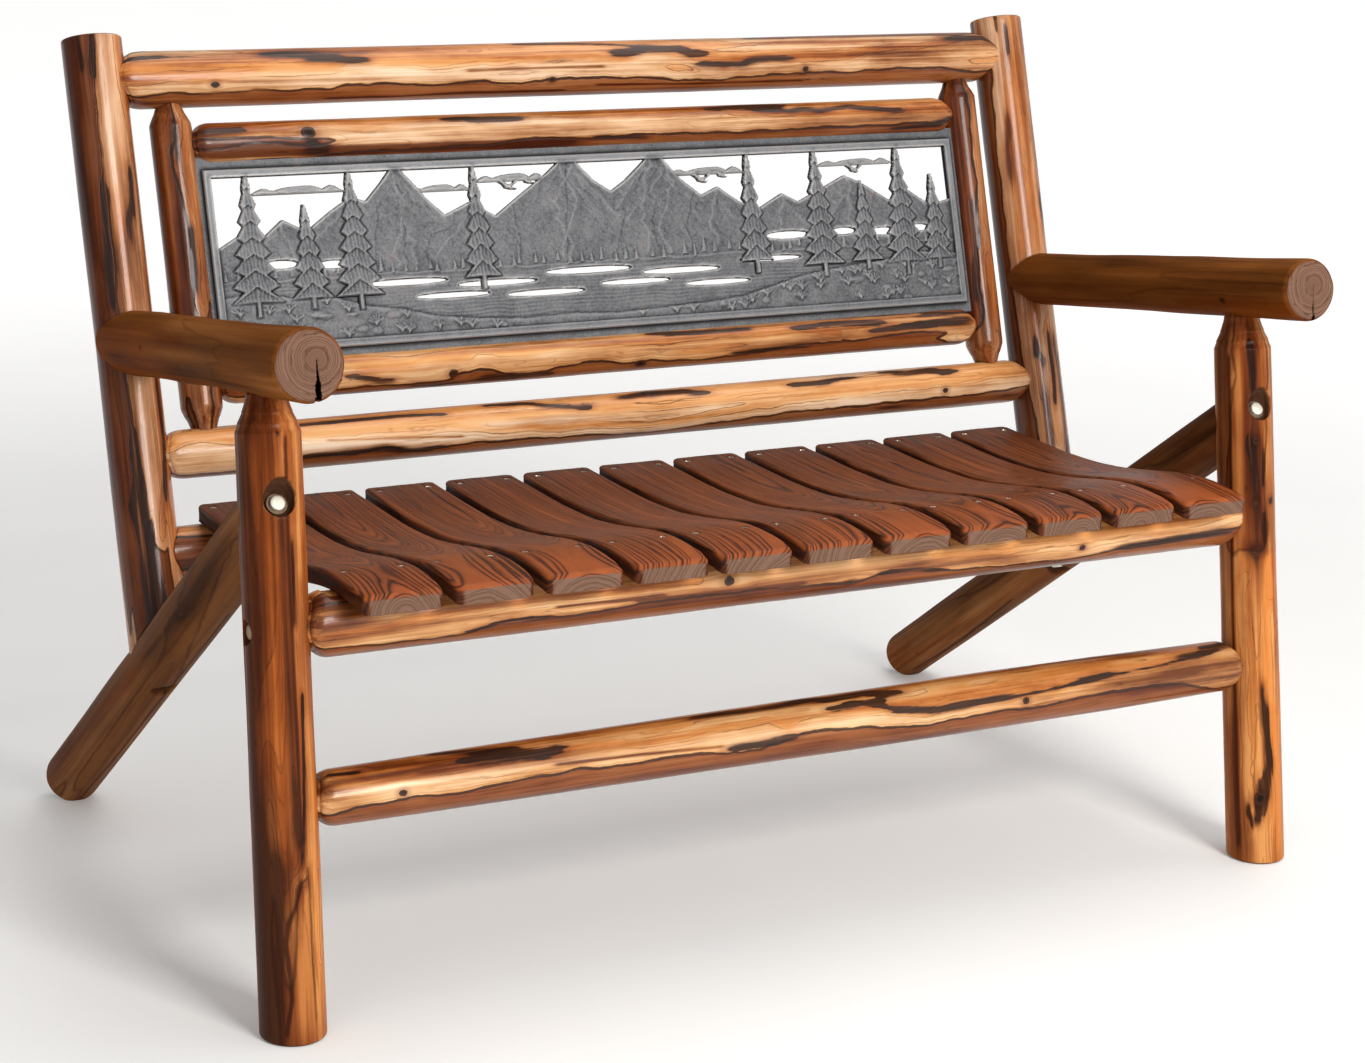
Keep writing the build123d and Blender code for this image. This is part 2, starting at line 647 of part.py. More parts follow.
for i, x in enumerate(SLAT_X):
    with BuildPart() as seat_slat:
        top, under = slat_outline()
        with BuildSketch(Plane.YZ.offset(x + CX - SLAT_W / 2)):
            with BuildLine():
                Spline(*top)
                Line(top[-1], under[-1])
                Spline(*under[::-1])
                Line(under[0], top[0])
            make_face()
        extrude(amount=SLAT_W)
        # corners rounded in plan
        with BuildSketch(Plane.XY.offset(380)) as plan:
            with Locations((x + CX, (SLAT_FRONT_Y + SLAT_REAR_Y) / 2 + CY)):
                Rectangle(SLAT_W, SLAT_REAR_Y - SLAT_FRONT_Y)
            fillet(plan.vertices().group_by(Axis.Y)[0], 9)
            fillet(plan.vertices().group_by(Axis.Y)[-1], 8)
        extrude(amount=100, mode=Mode.INTERSECT)
        # rounded-over upper edge, softened lower edge
        fillet(seat_slat.faces().sort_by(Axis.Z)[-1].edges(), 3.6)
        # countersunk holes for two screws at each end
        for y in SCREW_Y:
            inset = SLAT_W / 2 - SCREW_INSET
            with Locations(
                *[Plane(origin=at(x + side * inset, y, seat_z(y) - 0.3), z_dir=UP) for side in (-1, 1)]
            ):
                CounterSinkHole(radius=2.3, counter_sink_radius=4.3, depth=60)
    save(seat_slat, f"seat_slat_{i + 1:02d}")

# ---------------------------------------------------------------- screws and bolts
with BuildPart() as slat_screws:
    for y in SCREW_Y:
        for p in screw_spots(y):
            top = Vector(p.X, p.Y, seat_z(y) - 0.5)
            with BuildSketch(Plane(origin=top, x_dir=UP * -1, z_dir=Vector(0, 1, 0))):
                with BuildLine():
                    Polyline(
                        (0, 0), (0, 3.7), (0.3, 3.7), (2.4, 1.9), (36, 1.9), (40, 0), (0, 0)
                    )
                make_face()
            revolve(axis=Axis(top, UP))
save(slat_screws, "slat_screws")

for name, seats, length in (
    ("brace", {s: (BRACE_HEAD[s], BRACE_DIR[s]) for s in (-1, 1)}, 96),
    ("post", {s: (POST_HEAD[s], POST_DIR * -1) for s in (-1, 1)}, 104),
    ("rail", {s: (RAIL_HEAD[s], X_DIR * s) for s in (-1, 1)}, 96),
    ("arm", {s: (ARM_HEAD[s], ARM_DIR) for s in (-1, 1)}, 100),
):
    with BuildPart() as bolts:
        for p, d in seats.values():
            q = p + d * 2.1
            with BuildSketch(axis_plane(q, q + d)):
                with BuildLine():
                    Polyline(
                        (-length, 0), (-length, 2.4), (-length + 6, 4.4), (0, 4.4),
                        (0, HEAD_R), (3.8, HEAD_R), (4.8, HEAD_R - 1), (4.8, 0),
                        close=True,
                    )  # fmt: skip
                make_face()
            revolve(axis=Axis(q, d))
    save(bolts, f"{name}_bolts")
    with BuildPart() as washers:
        for p, d in seats.values():
            q = p + d * 0.05
            with BuildSketch(Plane(origin=q, z_dir=d)):
                Circle(WASHER_R)
                Circle(4.9, mode=Mode.SUBTRACT)
            extrude(amount=2.0)
    save(washers, f"{name}_bolt_washers")
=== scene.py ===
import math

import bmesh
import bpy
import numpy as np
from mathutils import Matrix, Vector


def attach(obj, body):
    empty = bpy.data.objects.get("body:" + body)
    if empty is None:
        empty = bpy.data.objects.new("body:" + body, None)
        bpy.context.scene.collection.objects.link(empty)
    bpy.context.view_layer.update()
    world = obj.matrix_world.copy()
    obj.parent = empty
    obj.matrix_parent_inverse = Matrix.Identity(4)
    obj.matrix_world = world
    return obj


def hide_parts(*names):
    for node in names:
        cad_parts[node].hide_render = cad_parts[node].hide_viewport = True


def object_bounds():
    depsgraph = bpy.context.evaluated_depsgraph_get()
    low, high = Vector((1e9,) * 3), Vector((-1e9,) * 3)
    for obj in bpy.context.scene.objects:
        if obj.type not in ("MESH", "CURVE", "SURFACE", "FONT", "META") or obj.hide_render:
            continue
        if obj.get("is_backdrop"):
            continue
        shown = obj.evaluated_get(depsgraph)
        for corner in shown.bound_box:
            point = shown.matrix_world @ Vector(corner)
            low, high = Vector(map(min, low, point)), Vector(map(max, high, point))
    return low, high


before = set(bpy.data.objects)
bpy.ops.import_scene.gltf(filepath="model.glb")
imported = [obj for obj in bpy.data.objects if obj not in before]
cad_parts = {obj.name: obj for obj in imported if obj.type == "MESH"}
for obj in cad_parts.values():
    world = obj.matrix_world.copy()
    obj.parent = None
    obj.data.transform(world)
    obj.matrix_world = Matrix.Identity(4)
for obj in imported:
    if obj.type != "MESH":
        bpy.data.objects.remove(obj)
LOW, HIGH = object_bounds()
CAD_BOX = [list(LOW), list(HIGH)]

# Lengths below are in millimetres in the part's own frame, and go to metres when a mesh is made.
CX, CY = -2.6, -382.0


# ------------------------------------------------------------------ small vector helpers
def V(*p):
    return np.array(p, float)


def at(x, y, z):
    return V(x + CX, y + CY, z)


def unit(v):
    v = np.asarray(v, float)
    return v / np.linalg.norm(v)


def smooth(x, a, b):
    t = np.clip((x - a) / (b - a), 0, 1)
    return t * t * (3 - 2 * t)


# ------------------------------------------------------------------ deterministic noise
def lattice(ix, iy, iz, seed):
    h = (
        ix.astype(np.int64) * 374761393
        + iy.astype(np.int64) * 668265263
        + iz.astype(np.int64) * 2147483647
        + seed * 1274126177
    ) & 0xFFFFFFFF
    h = ((h ^ (h >> 13)) * 1274126177) & 0xFFFFFFFF
    h = ((h ^ (h >> 16)) * 2246822519) & 0xFFFFFFFF
    return (h ^ (h >> 15)) / 4294967295.0 * 2 - 1


def noise(x, y, z, seed):
    """Smooth value noise from -1 to 1."""
    fx, fy, fz = np.floor(x), np.floor(y), np.floor(z)
    tx, ty, tz = x - fx, y - fy, z - fz
    tx, ty, tz = (t * t * t * (t * (t * 6 - 15) + 10) for t in (tx, ty, tz))
    out = 0
    for dx in (0, 1):
        for dy in (0, 1):
            for dz in (0, 1):
                w = (
                    (tx if dx else 1 - tx)
                    * (ty if dy else 1 - ty)
                    * (tz if dz else 1 - tz)
                )
                out = out + w * lattice(fx + dx, fy + dy, fz + dz, seed)
    return out


def fbm(x, y, z, seed, octaves=3, gain=0.5):
    out, a, k = 0, 1.0, 1.0
    for i in range(octaves):
        out = out + a * noise(x * k + 7.3 * i, y * k + 3.1 * i, z * k + 5.7 * i, seed + i)
        a *= gain
        k *= 2.03
    return out


# ------------------------------------------------------------------ meshes
def make_mesh(name, verts, quads, tris=None):
    """A mesh from arrays: vertices in mm, quads and triangles as index rows."""
    mesh = bpy.data.meshes.new(name)
    verts = np.asarray(verts, float) * 0.001
    quads = np.asarray(quads, np.int32).reshape(-1, 4)
    tris = np.zeros((0, 3), np.int32) if tris is None else np.asarray(tris, np.int32).reshape(-1, 3)
    mesh.vertices.add(len(verts))
    mesh.vertices.foreach_set("co", verts.astype(np.float32).ravel())
    loops = np.concatenate([quads.ravel(), tris.ravel()]).astype(np.int32)
    starts = np.concatenate(
        [np.arange(len(quads)) * 4, len(quads) * 4 + np.arange(len(tris)) * 3]
    ).astype(np.int32)
    mesh.loops.add(len(loops))
    mesh.loops.foreach_set("vertex_index", loops)
    mesh.polygons.add(len(starts))
    mesh.polygons.foreach_set("loop_start", starts)
    mesh.update(calc_edges=True)
    mesh.validate()
    mesh.polygons.foreach_set("use_smooth", np.ones(len(mesh.polygons), bool))
    return mesh


def add_object(name, mesh, nodes, slot, material):
    obj = bpy.data.objects.new(name, mesh)
    bpy.context.scene.collection.objects.link(obj)
    mesh.materials.clear()
    mesh.materials.append(material)
    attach(obj, "root")
    if nodes:
        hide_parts(*nodes)
    return obj


def vec_attr(mesh, name, data):
    a = mesh.attributes.new(name, "FLOAT_VECTOR", "POINT")
    a.data.foreach_set("vector", np.asarray(data, np.float32).ravel())


def coords(mesh):
    co = np.empty(len(mesh.vertices) * 3, np.float32)
    mesh.vertices.foreach_get("co", co)
    return co.reshape(-1, 3).astype(float) * 1000


def cut(mesh, cutters):
    """Takes closed cutter meshes out of a mesh."""
    obj = bpy.data.objects.new("cut", mesh)
    bpy.context.scene.collection.objects.link(obj)
    tools = []
    for c in cutters:
        t = bpy.data.objects.new("cutter", c)
        bpy.context.scene.collection.objects.link(t)
        tools.append(t)
        m = obj.modifiers.new("cut", "BOOLEAN")
        m.operation, m.solver, m.object = "DIFFERENCE", "EXACT", t
    depsgraph = bpy.context.evaluated_depsgraph_get()
    out = bpy.data.meshes.new_from_object(obj.evaluated_get(depsgraph))
    for o in [obj, *tools]:
        bpy.data.objects.remove(o)
    out.polygons.foreach_set("use_smooth", np.ones(len(out.polygons), bool))
    return out


def lathe(origin, axis, profile, n=48, phase=0.0):
    """Vertices and quads of a profile [(along, radius)] turned about an axis; closed at radius 0."""
    axis = unit(axis)
    ref = V(1, 0, 0) if abs(axis[0]) < 0.7 else V(0, 0, 1)
    e1 = unit(np.cross(axis, ref))
    e2 = np.cross(axis, e1)
    t = np.arange(n) / n * 2 * math.pi + phase
    ring = np.cos(t)[:, None] * e1 + np.sin(t)[:, None] * e2
    rows = [np.asarray(origin) + axis * s + ring * max(r, 0.0) for s, r in profile]
    verts = np.concatenate(rows)
    quads, tris = [], []
    j = np.arange(n)
    for i in range(len(profile) - 1):
        a, b = i * n + j, i * n + (j + 1) % n
        c, d = (i + 1) * n + (j + 1) % n, (i + 1) * n + j
        quads.append(np.stack([a, b, c, d], 1))
    extra = []
    for i, flip in ((0, True), (len(profile) - 1, False)):
        if profile[i][1] > 0.01:
            k = len(verts) + len(extra)
            extra.append(np.asarray(origin) + axis * profile[i][0])
            a, b = i * n + j, i * n + (j + 1) % n
            tri = np.stack([b, a, np.full(n, k)] if flip else [a, b, np.full(n, k)], 1)
            tris.append(tri)
    if extra:
        verts = np.concatenate([verts, np.array(extra)])
    return verts, np.concatenate(quads), np.concatenate(tris) if tris else None


# ------------------------------------------------------------------ logs
CAM_BACK = V(-0.463, -0.849, 0.254)  # from the bench towards the viewer


class End:
    """Where a log stops: on a plane, or on the round of a neighbouring log."""

    def __init__(self, kind, point, normal, radius=0.0, round_off=3.0, cap="flat"):
        self.kind, self.p, self.n = kind, np.asarray(point, float), unit(normal)
        self.r, self.c, self.cap = radius, round_off, cap

    def reach(self, log, theta, rho, side):
        """Distance along the log's axis at which the line at theta, rho stops."""
        rho = np.broadcast_to(rho, theta.shape)[:, None]
        q = log.a + rho * (np.cos(theta)[:, None] * log.e1 + np.sin(theta)[:, None] * log.e2)
        if self.kind == "plane":
            return ((self.p - q) @ self.n) / (log.d @ self.n)
        w = q - self.p
        w = w - (w @ self.n)[:, None] * self.n
        v = log.d - (log.d @ self.n) * self.n
        vv, wv, ww = v @ v, w @ v, (w * w).sum(1)
        disc = np.maximum(wv * wv - vv * (ww - self.r**2), 0)
        return (-wv - side * np.sqrt(disc)) / vv  # side 1: the far end of the log


class Log:
    """One peeled log: its axis, its radius along the way, its two ends, and the maps of its surface."""

    def __init__(self, name, a, b, radii, start, end, seed, turned=(), nt=112, step=3.2):
        self.name, self.a, self.b = name, np.asarray(a, float), np.asarray(b, float)
        self.n = float(np.linalg.norm(self.b - self.a))
        self.d = (self.b - self.a) / self.n
        self.e1 = unit(CAM_BACK - (CAM_BACK @ self.d) * self.d)
        self.e2 = np.cross(self.d, self.e1)
        self.radii = np.array(radii, float)
        self.start, self.end, self.seed = start, end, seed
        self.turned, self.nt, self.step = turned, nt, step
        self.strokes, self.shades, self.knots, self.lines = [], [], [], []
        self.rough, self.limit, self.lift, self.tone, self.band = 0.55, -0.80, 0.22, 0.0, 1
        self.pith, self.flat, self.crack, self.calm, self.swirl, self.knuckle, self.fade = V(0, 0, 0), None, None, 1.0, 1.0, 0.0, 70.0
        self.nose = 0.0

    def base(self, s):
        return np.interp(s, self.radii[:, 0], self.radii[:, 1])

    def build_maps(self):
        """Maps over (s, theta): layers, distance to the char's edge, tone, knots and height."""
        self.s = np.arange(-20, self.n + 22, 2.0)
        self.nth = 128
        th = np.arange(self.nth) / self.nth * 2 * math.pi
        S, T = np.meshgrid(self.s, th, indexing="ij")
        R = float(np.median(self.radii[:, 1]))
        C1, C2 = R * np.cos(T), R * np.sin(T)
        k = self.seed * 17

        def around(theta):
            return ((theta - T + math.pi) % (2 * math.pi) - math.pi) * R

        # knots push the fibres aside
        knot = np.full(S.shape, 9.0)
        shift = np.zeros(S.shape)
        bump = np.zeros(S.shape)
        pull = np.zeros(S.shape)
        for s0, t0, size, rise, dark in self.knots:
            ds, dt = S - s0, -around(math.radians(t0))
            q = np.hypot(ds / 1.25, dt) / size
            knot = np.minimum(knot, q)
            flow = np.hypot(ds / 2.6, dt) / size
            shift += dt * np.exp(-((flow / 2.2) ** 2)) * -0.75
            bump += rise * (np.exp(-((q / 1.15) ** 2)) - 0.55 * np.exp(-((q / 0.62) ** 2)))
            pull += dark * np.exp(-((flow / 1.6) ** 2))
        tw = T + shift / R
        W1, W2 = R * np.cos(tw), R * np.sin(tw)
        slow = fbm(S / 480.0, W1 / 27.0, W2 / 27.0, k + 1, 2, 0.4)
        mid = fbm(S / 130.0, W1 / 11.0, W2 / 11.0, k + 5, 2, 0.5)
        flame = noise(S / 34.0, W1 / 3.0, W2 / 3.0, k + 9)
        fine = noise(S / 13.0, W1 / 4.2, W2 / 4.2, k + 11)

        # wood layers: a smooth field whose level lines are the dark contours that the peeling left
        layers = 1.10 * slow + (0.30 * mid + 0.04 * fine) * self.swirl + self.lift + 0.25 * pull
        for kind, path in self.lines:
            ps = np.array([p[0] for p in path], float)
            pt = np.radians([p[1] for p in path])
            wander = (1.3 * noise(S / 26.0, 0 * S, 0 * S, k + 51) + 0.6 * noise(S / 9.0, 0 * S, 0 * S, k + 52)) / R
            side = -self.band if kind == "edge_back" else self.band
            dist = side * around(np.interp(S, ps, pt) + wander)
            first = -300.0 if ps[0] < 75 else ps[0]
            last = self.n + 300.0 if ps[-1] > self.n - 75 else ps[-1]
            fade = 25.0 if kind == "line" else self.fade
            window = smooth(S, first - fade, first + 6) * smooth(-S, -last - fade, -last + 6)
            if kind == "line":
                mean = float((layers * (np.abs(dist) < 4) * (window > 0.5)).sum())
                level = 0.5 if mean > 0 else -0.5
            else:
                level = 0.0
                wide = 0.88 * np.exp(-((dist / 40.0) ** 2)) * window
                layers = layers * (1 - wide) + wide * (dist / 30.0 + 0.10 * mid)
            near = np.exp(-((dist / 8.0) ** 4)) * window
            layers = layers * (1 - near) + near * (level + dist / 22.0)
        gs = np.gradient(layers, 2.0, axis=0)
        gt = (np.roll(layers, -1, 1) - np.roll(layers, 1, 1)) / (2 * 2 * math.pi * R / self.nth)
        self.layers = layers
        self.slope = np.hypot(gs, gt) + 0.006

        def stroke(path, width):
            pts = np.array([(p[0], math.radians(p[1])) for p in path])
            best = np.full(S.shape, 1e9)
            for (s1, t1), (s2, t2) in zip(pts[:-1], pts[1:]):
                ax, ay = S - s1, -around(t1)
                bx, by = s2 - s1, ((t2 - t1 + math.pi) % (2 * math.pi) - math.pi) * R
                m = np.clip((ax * bx + ay * by) / max(bx * bx + by * by, 1e-9), 0, 1)
                best = np.minimum(best, np.hypot((ax - m * bx) * 0.22, ay - m * by))
            return np.exp(-((best / width) ** 2))

        # charred or bark-brown islands, long and thin, with flame-like ends
        field = 0.85 * fbm(S / 250.0, W1 / 17.0, W2 / 17.0, k + 61, 2, 0.5) + 0.28 * mid + 0.16 * flame + 0.07 * fine
        field = field * self.calm - 0.5 * pull + 0.30 * smooth(np.cos(T), -0.2, 0.5)
        for path, width in self.strokes:
            field = np.minimum(field, 0.3) - 1.75 * stroke(path, width * (1 + 0.3 * mid))
        gs = np.gradient(field, 2.0, axis=0)
        gt = (np.roll(field, -1, 1) - np.roll(field, 1, 1)) / (2 * 2 * math.pi * R / self.nth)
        self.char = np.clip((field - self.limit) / (np.hypot(gs, gt) + 0.02), -12, 12)
        tone = 0.5 + 0.26 * fbm(S / 310.0, W1 / 26.0, W2 / 26.0, k + 21, 3, 0.55) + 0.07 * np.clip(layers, -1, 1) + self.tone
        for path, width, amount in self.shades:
            tone = tone - amount * stroke(path, width) * (0.85 + (0.5 if amount < 0.9 else 0.15) * mid)
        self.tone_map = tone
        self.knot = knot
        self.shift = shift
        # relief: slow bends of the surface, peeled flats, hollows along the char, raised knots
        h = 0.55 * fbm(S / 170.0, C1 / 26.0, C2 / 26.0, k + 31, 2, 0.5)
        h += 0.22 * noise(S / 48.0, C1 / 12.0, C2 / 12.0, k + 37)
        h *= self.rough
        if self.knuckle:
            h += self.knuckle * (noise(S / 105.0, C1 / 60.0, C2 / 60.0, k + 43) - 0.75)
        off = layers / self.slope
        h += -0.16 * smooth(-self.char, -1.5, 3.0)
        h += (0.22 * smooth(off, -1.5, 2.0) - 0.11 - 0.16 * np.exp(-((off / 1.3) ** 2))) * self.calm
        h += 0.045 * noise(S / 30.0, W1 / 1.7, W2 / 1.7, k + 41)
        self.high = np.minimum(h + bump, 1.4 + bump)
        self.R = R

    def sample(self, grid, s, theta):
        i = np.clip((s - self.s[0]) / 2.0, 0, len(self.s) - 1.001)
        j = (theta % (2 * math.pi)) / (2 * math.pi) * self.nth
        i0, j0 = np.floor(i).astype(int), np.floor(j).astype(int)
        u, v = i - i0, j - j0
        j0, j1 = j0 % self.nth, (j0 + 1) % self.nth
        return (
            grid[i0, j0] * (1 - u) * (1 - v)
            + grid[i0 + 1, j0] * u * (1 - v)
            + grid[i0, j1] * (1 - u) * v
            + grid[i0 + 1, j1] * u * v
        )

    def drop(self, s, lo, hi):
        """How far the rounded noses at the ends of a rail fall away from its full radius."""
        lift = np.minimum(np.clip(s - lo, 0, 15.0), np.clip(hi - s, 0, 15.0)) / 15.0
        return self.nose * (1 - np.sqrt(np.maximum(1 - (1 - lift) ** 2, 0)))

    def mesh(self, cutters=()):
        self.build_maps()
        th = np.arange(self.nt) / self.nt * 2 * math.pi
        ring = np.cos(th)[:, None] * self.e1 + np.sin(th)[:, None] * self.e2
        r0, r1 = self.base(np.array([self.start_s(), self.end_s()])) - self.nose
        s0 = self.start.reach(self, th, r0, -1)
        s1 = self.end.reach(self, th, r1, 1)
        rows = []

        def put(s, rho):
            rows.append(self.a + s[:, None] * self.d + rho[:, None] * ring)

        def cap(end, sv, rad, side):
            """Rings from the middle of an end face out to its worn rim."""
            c = end.c
            rim = rad - c
            out = []
            for k in (0.02, 0.14, 0.27, 0.4, 0.53, 0.66, 0.78, 0.88, 0.95):
                rho = rim * k
                s = end.reach(self, th, rho, side) if end.kind == "round" else None
                if s is None:
                    s = end.reach(self, th, rho, side)
                out.append((s, rho))
            for k in range(0, 6):
                f = math.radians(k * 90 / 6)
                rho = rim + c * math.sin(f)
                s = end.reach(self, th, rim, side) if k == 0 else sv
                out.append((s - side * c * (1 - math.cos(f)), rho))
            return out

        body_lo, body_hi = s0 + self.start.c, s1 - self.end.c
        h0, h1 = self.sample(self.high, body_lo, th), self.sample(self.high, body_hi, th)
        for s, rho in cap(self.start, s0, r0 + h0, -1):
            put(s, rho)
        n = max(int((self.n + 1) / self.step), 8)
        t = np.linspace(0, 1, n + 1)
        extra = [x for x in self.turned]
        marks = set(list(t)) | {min(max(x / self.n, 0), 1) for x in extra}
        if self.nose:
            near = [x / self.n for x in (0.2, 0.5, 0.9, 1.5, 2.3, 4.6)]
            marks |= set(near) | {1 - x for x in near}
        marks = sorted(marks)
        for m in marks:
            s = body_lo + (body_hi - body_lo) * m
            put(s, self.base(s) + self.sample(self.high, s, th) * self.turned_fade(s) - self.drop(s, body_lo, body_hi))
        for s, rho in cap(self.end, s1, r1 + h1, 1)[::-1]:
            put(s, rho)
        verts = np.concatenate(rows)
        m, j = self.nt, np.arange(self.nt)
        quads = np.concatenate(
            [np.stack([i * m + j, i * m + (j + 1) % m, (i + 1) * m + (j + 1) % m, (i + 1) * m + j], 1) for i in range(len(rows) - 1)]
        )
        first, last = len(verts), len(verts) + 1
        verts = np.concatenate([verts, [rows[0].mean(0), rows[-1].mean(0)]])
        tris = np.concatenate(
            [
                np.stack([(j + 1) % m, j, np.full(m, first)], 1),
                np.stack([(len(rows) - 1) * m + j, (len(rows) - 1) * m + (j + 1) % m, np.full(m, last)], 1),
            ]
        )
        verts = np.clip(verts, BOX_LO, BOX_HI)
        if self.flat:
            top, half = self.flat
            lim = top + 12 * smooth(np.abs(verts[:, 0] - CX), half - 3, half + 14)
            verts[:, 2] = np.minimum(verts[:, 2], lim)
        mesh = make_mesh(self.name, verts, quads, tris)
        if cutters:
            mesh = cut(mesh, cutters)
            mesh.name = self.name
        self.attributes(mesh)
        return mesh

    def start_s(self):
        return float(self.start.reach(self, np.array([0.0]), self.R, -1)[0])

    def end_s(self):
        return float(self.end.reach(self, np.array([0.0]), self.R, 1)[0])

    def turned_fade(self, s):
        return 1.0

    def place(self, p):
        """(s, theta, rho) of points in the part's frame."""
        q = p - self.a
        s = q @ self.d
        x, y = q @ self.e1, q @ self.e2
        return s, np.arctan2(y, x), np.hypot(x, y)

    def attributes(self, mesh):
        p = coords(mesh)
        s, th, rho = self.place(p)
        deep = self.base(s) + self.sample(self.high, s, th) - rho
        if self.nose:
            r0, r1 = self.base(np.array([self.start_s(), self.end_s()])) - self.nose
            lo = self.start.reach(self, th, r0, -1) + self.start.c
            hi = self.end.reach(self, th, r1, 1) - self.end.c
            deep = deep - self.drop(s, lo, hi)
        if self.flat:
            deep = np.where(p[:, 2] > self.flat[0] - 0.8, np.minimum(deep, 1.0), deep)
        for end in (self.start, self.end):
            if end.kind == "plane":
                deep = np.maximum(deep, 7.0 * smooth(-np.abs((p - end.p) @ end.n), -1.6, -0.5))
        knot = self.sample(self.knot, s, th)
        if self.crack:
            face, side, down, profile = self.crack
            q = p - face
            x, y, z = q @ side, q @ down, q @ self.d
            half = np.interp(y, [c[0] for c in profile], [c[1] for c in profile])
            inside = (np.abs(x) < half + 0.9) & (y > -1) & (z > 0.8) & (z < 60) & (deep > 0.5)
            # inside the crack the knot value is set to a knot's heart, so its walls are painted near-black: painted
            # shade
            knot = np.where(inside, 0.03, knot)
        y = th + self.sample(self.shift, s, th) / self.R
        off = self.seed * 137.0
        g1 = rho * np.cos(y) - self.pith @ self.e1
        g2 = rho * np.sin(y) - self.pith @ self.e2
        vec_attr(mesh, "grain", np.stack([s + off, g1, g2], 1) * 0.001)
        vec_attr(
            mesh,
            "marks",
            np.stack([self.sample(self.char, s, th), self.sample(self.layers, s, th), self.sample(self.tone_map, s, th)], 1),
        )
        vec_attr(mesh, "spots", np.stack([knot, np.clip(deep, -2, 40), self.sample(self.slope, s, th)], 1))


BOX_LO, BOX_HI = np.array(CAD_BOX[0]) * 1000, np.array(CAD_BOX[1]) * 1000

LEG_HALF = {-1: 600.0, 1: 598.2}
POST_HALF = {-1: 590.7, 1: 588.8}
STILE_X = {-1: -512.7, 1: 516.6}
X_DIR, UP = V(1, 0, 0), V(0, 0, 1)
SIDES = ((-1, "left"), (1, "right"))


def leg_at(s, z):
    return at(s * (LEG_HALF[s] - 0.01561 * z), 0.13941 * z, z)


def post_at(s, z):
    return at(s * POST_HALF[s], 335.1 + 0.3092 * z, z)


def back_at(x, z):
    return at(x, 335.1 + 0.3092 * z, z)


ARM_SLOPE = (598.0 - 676.1) / (335.1 + 0.3092 * 598.0 + 28.9)


def arm_at(s, y):
    return at(s * POST_HALF[s], y, 676.1 + ARM_SLOPE * (y + 28.9))


LEG_DIR = {s: unit(leg_at(s, 500) - leg_at(s, 0)) for s in (-1, 1)}
POST_DIR = unit(V(0, 0.3092, 1))
BACK_NORMAL = unit(V(0, -1, 0.3092))
ARM_DIR = unit(arm_at(1, 500) - arm_at(1, 0))
COS_BACK = float(POST_DIR[2])
BRACE = {
    -1: (at(-592.4, 751.5, 24.5), at(-592.9, 71.5, 513.0), 32.1),
    1: (at(606.6, 776.4, 24.5), at(591.4, 71.3, 511.4), 31.8),
}
BRACE_DIR = {s: unit(BRACE[s][1] - BRACE[s][0]) for s in (-1, 1)}
BRACE_HIT, POST_END = {}, {}
for s in (-1, 1):
    foot = BRACE[s][0]
    t = (post_at(s, 0)[1] - foot[1] + 0.3092 * foot[2]) / (
        BRACE_DIR[s][1] - 0.3092 * BRACE_DIR[s][2]
    )
    BRACE_HIT[s] = foot + BRACE_DIR[s] * t
    POST_END[s] = post_at(s, BRACE_HIT[s][2])
BRACE_HEAD = {s: BRACE[s][1] + BRACE_DIR[s] * 19.5 for s in (-1, 1)}
POST_HEAD = {s: POST_END[s] - POST_DIR * 20.0 for s in (-1, 1)}
RAIL_HEAD = {s: leg_at(s, 400.3) + X_DIR * (s * 22.0) for s in (-1, 1)}
ARM_HEAD = {s: post_at(s, 598.0) + ARM_DIR * 22.0 for s in (-1, 1)}
LEG_R, POST_R = 32.2, {-1: 32.7, 1: 32.3}

LOGS = {}


def add_log(name, *args, **more):
    LOGS[name] = Log(name, *args, **more)
    return LOGS[name]


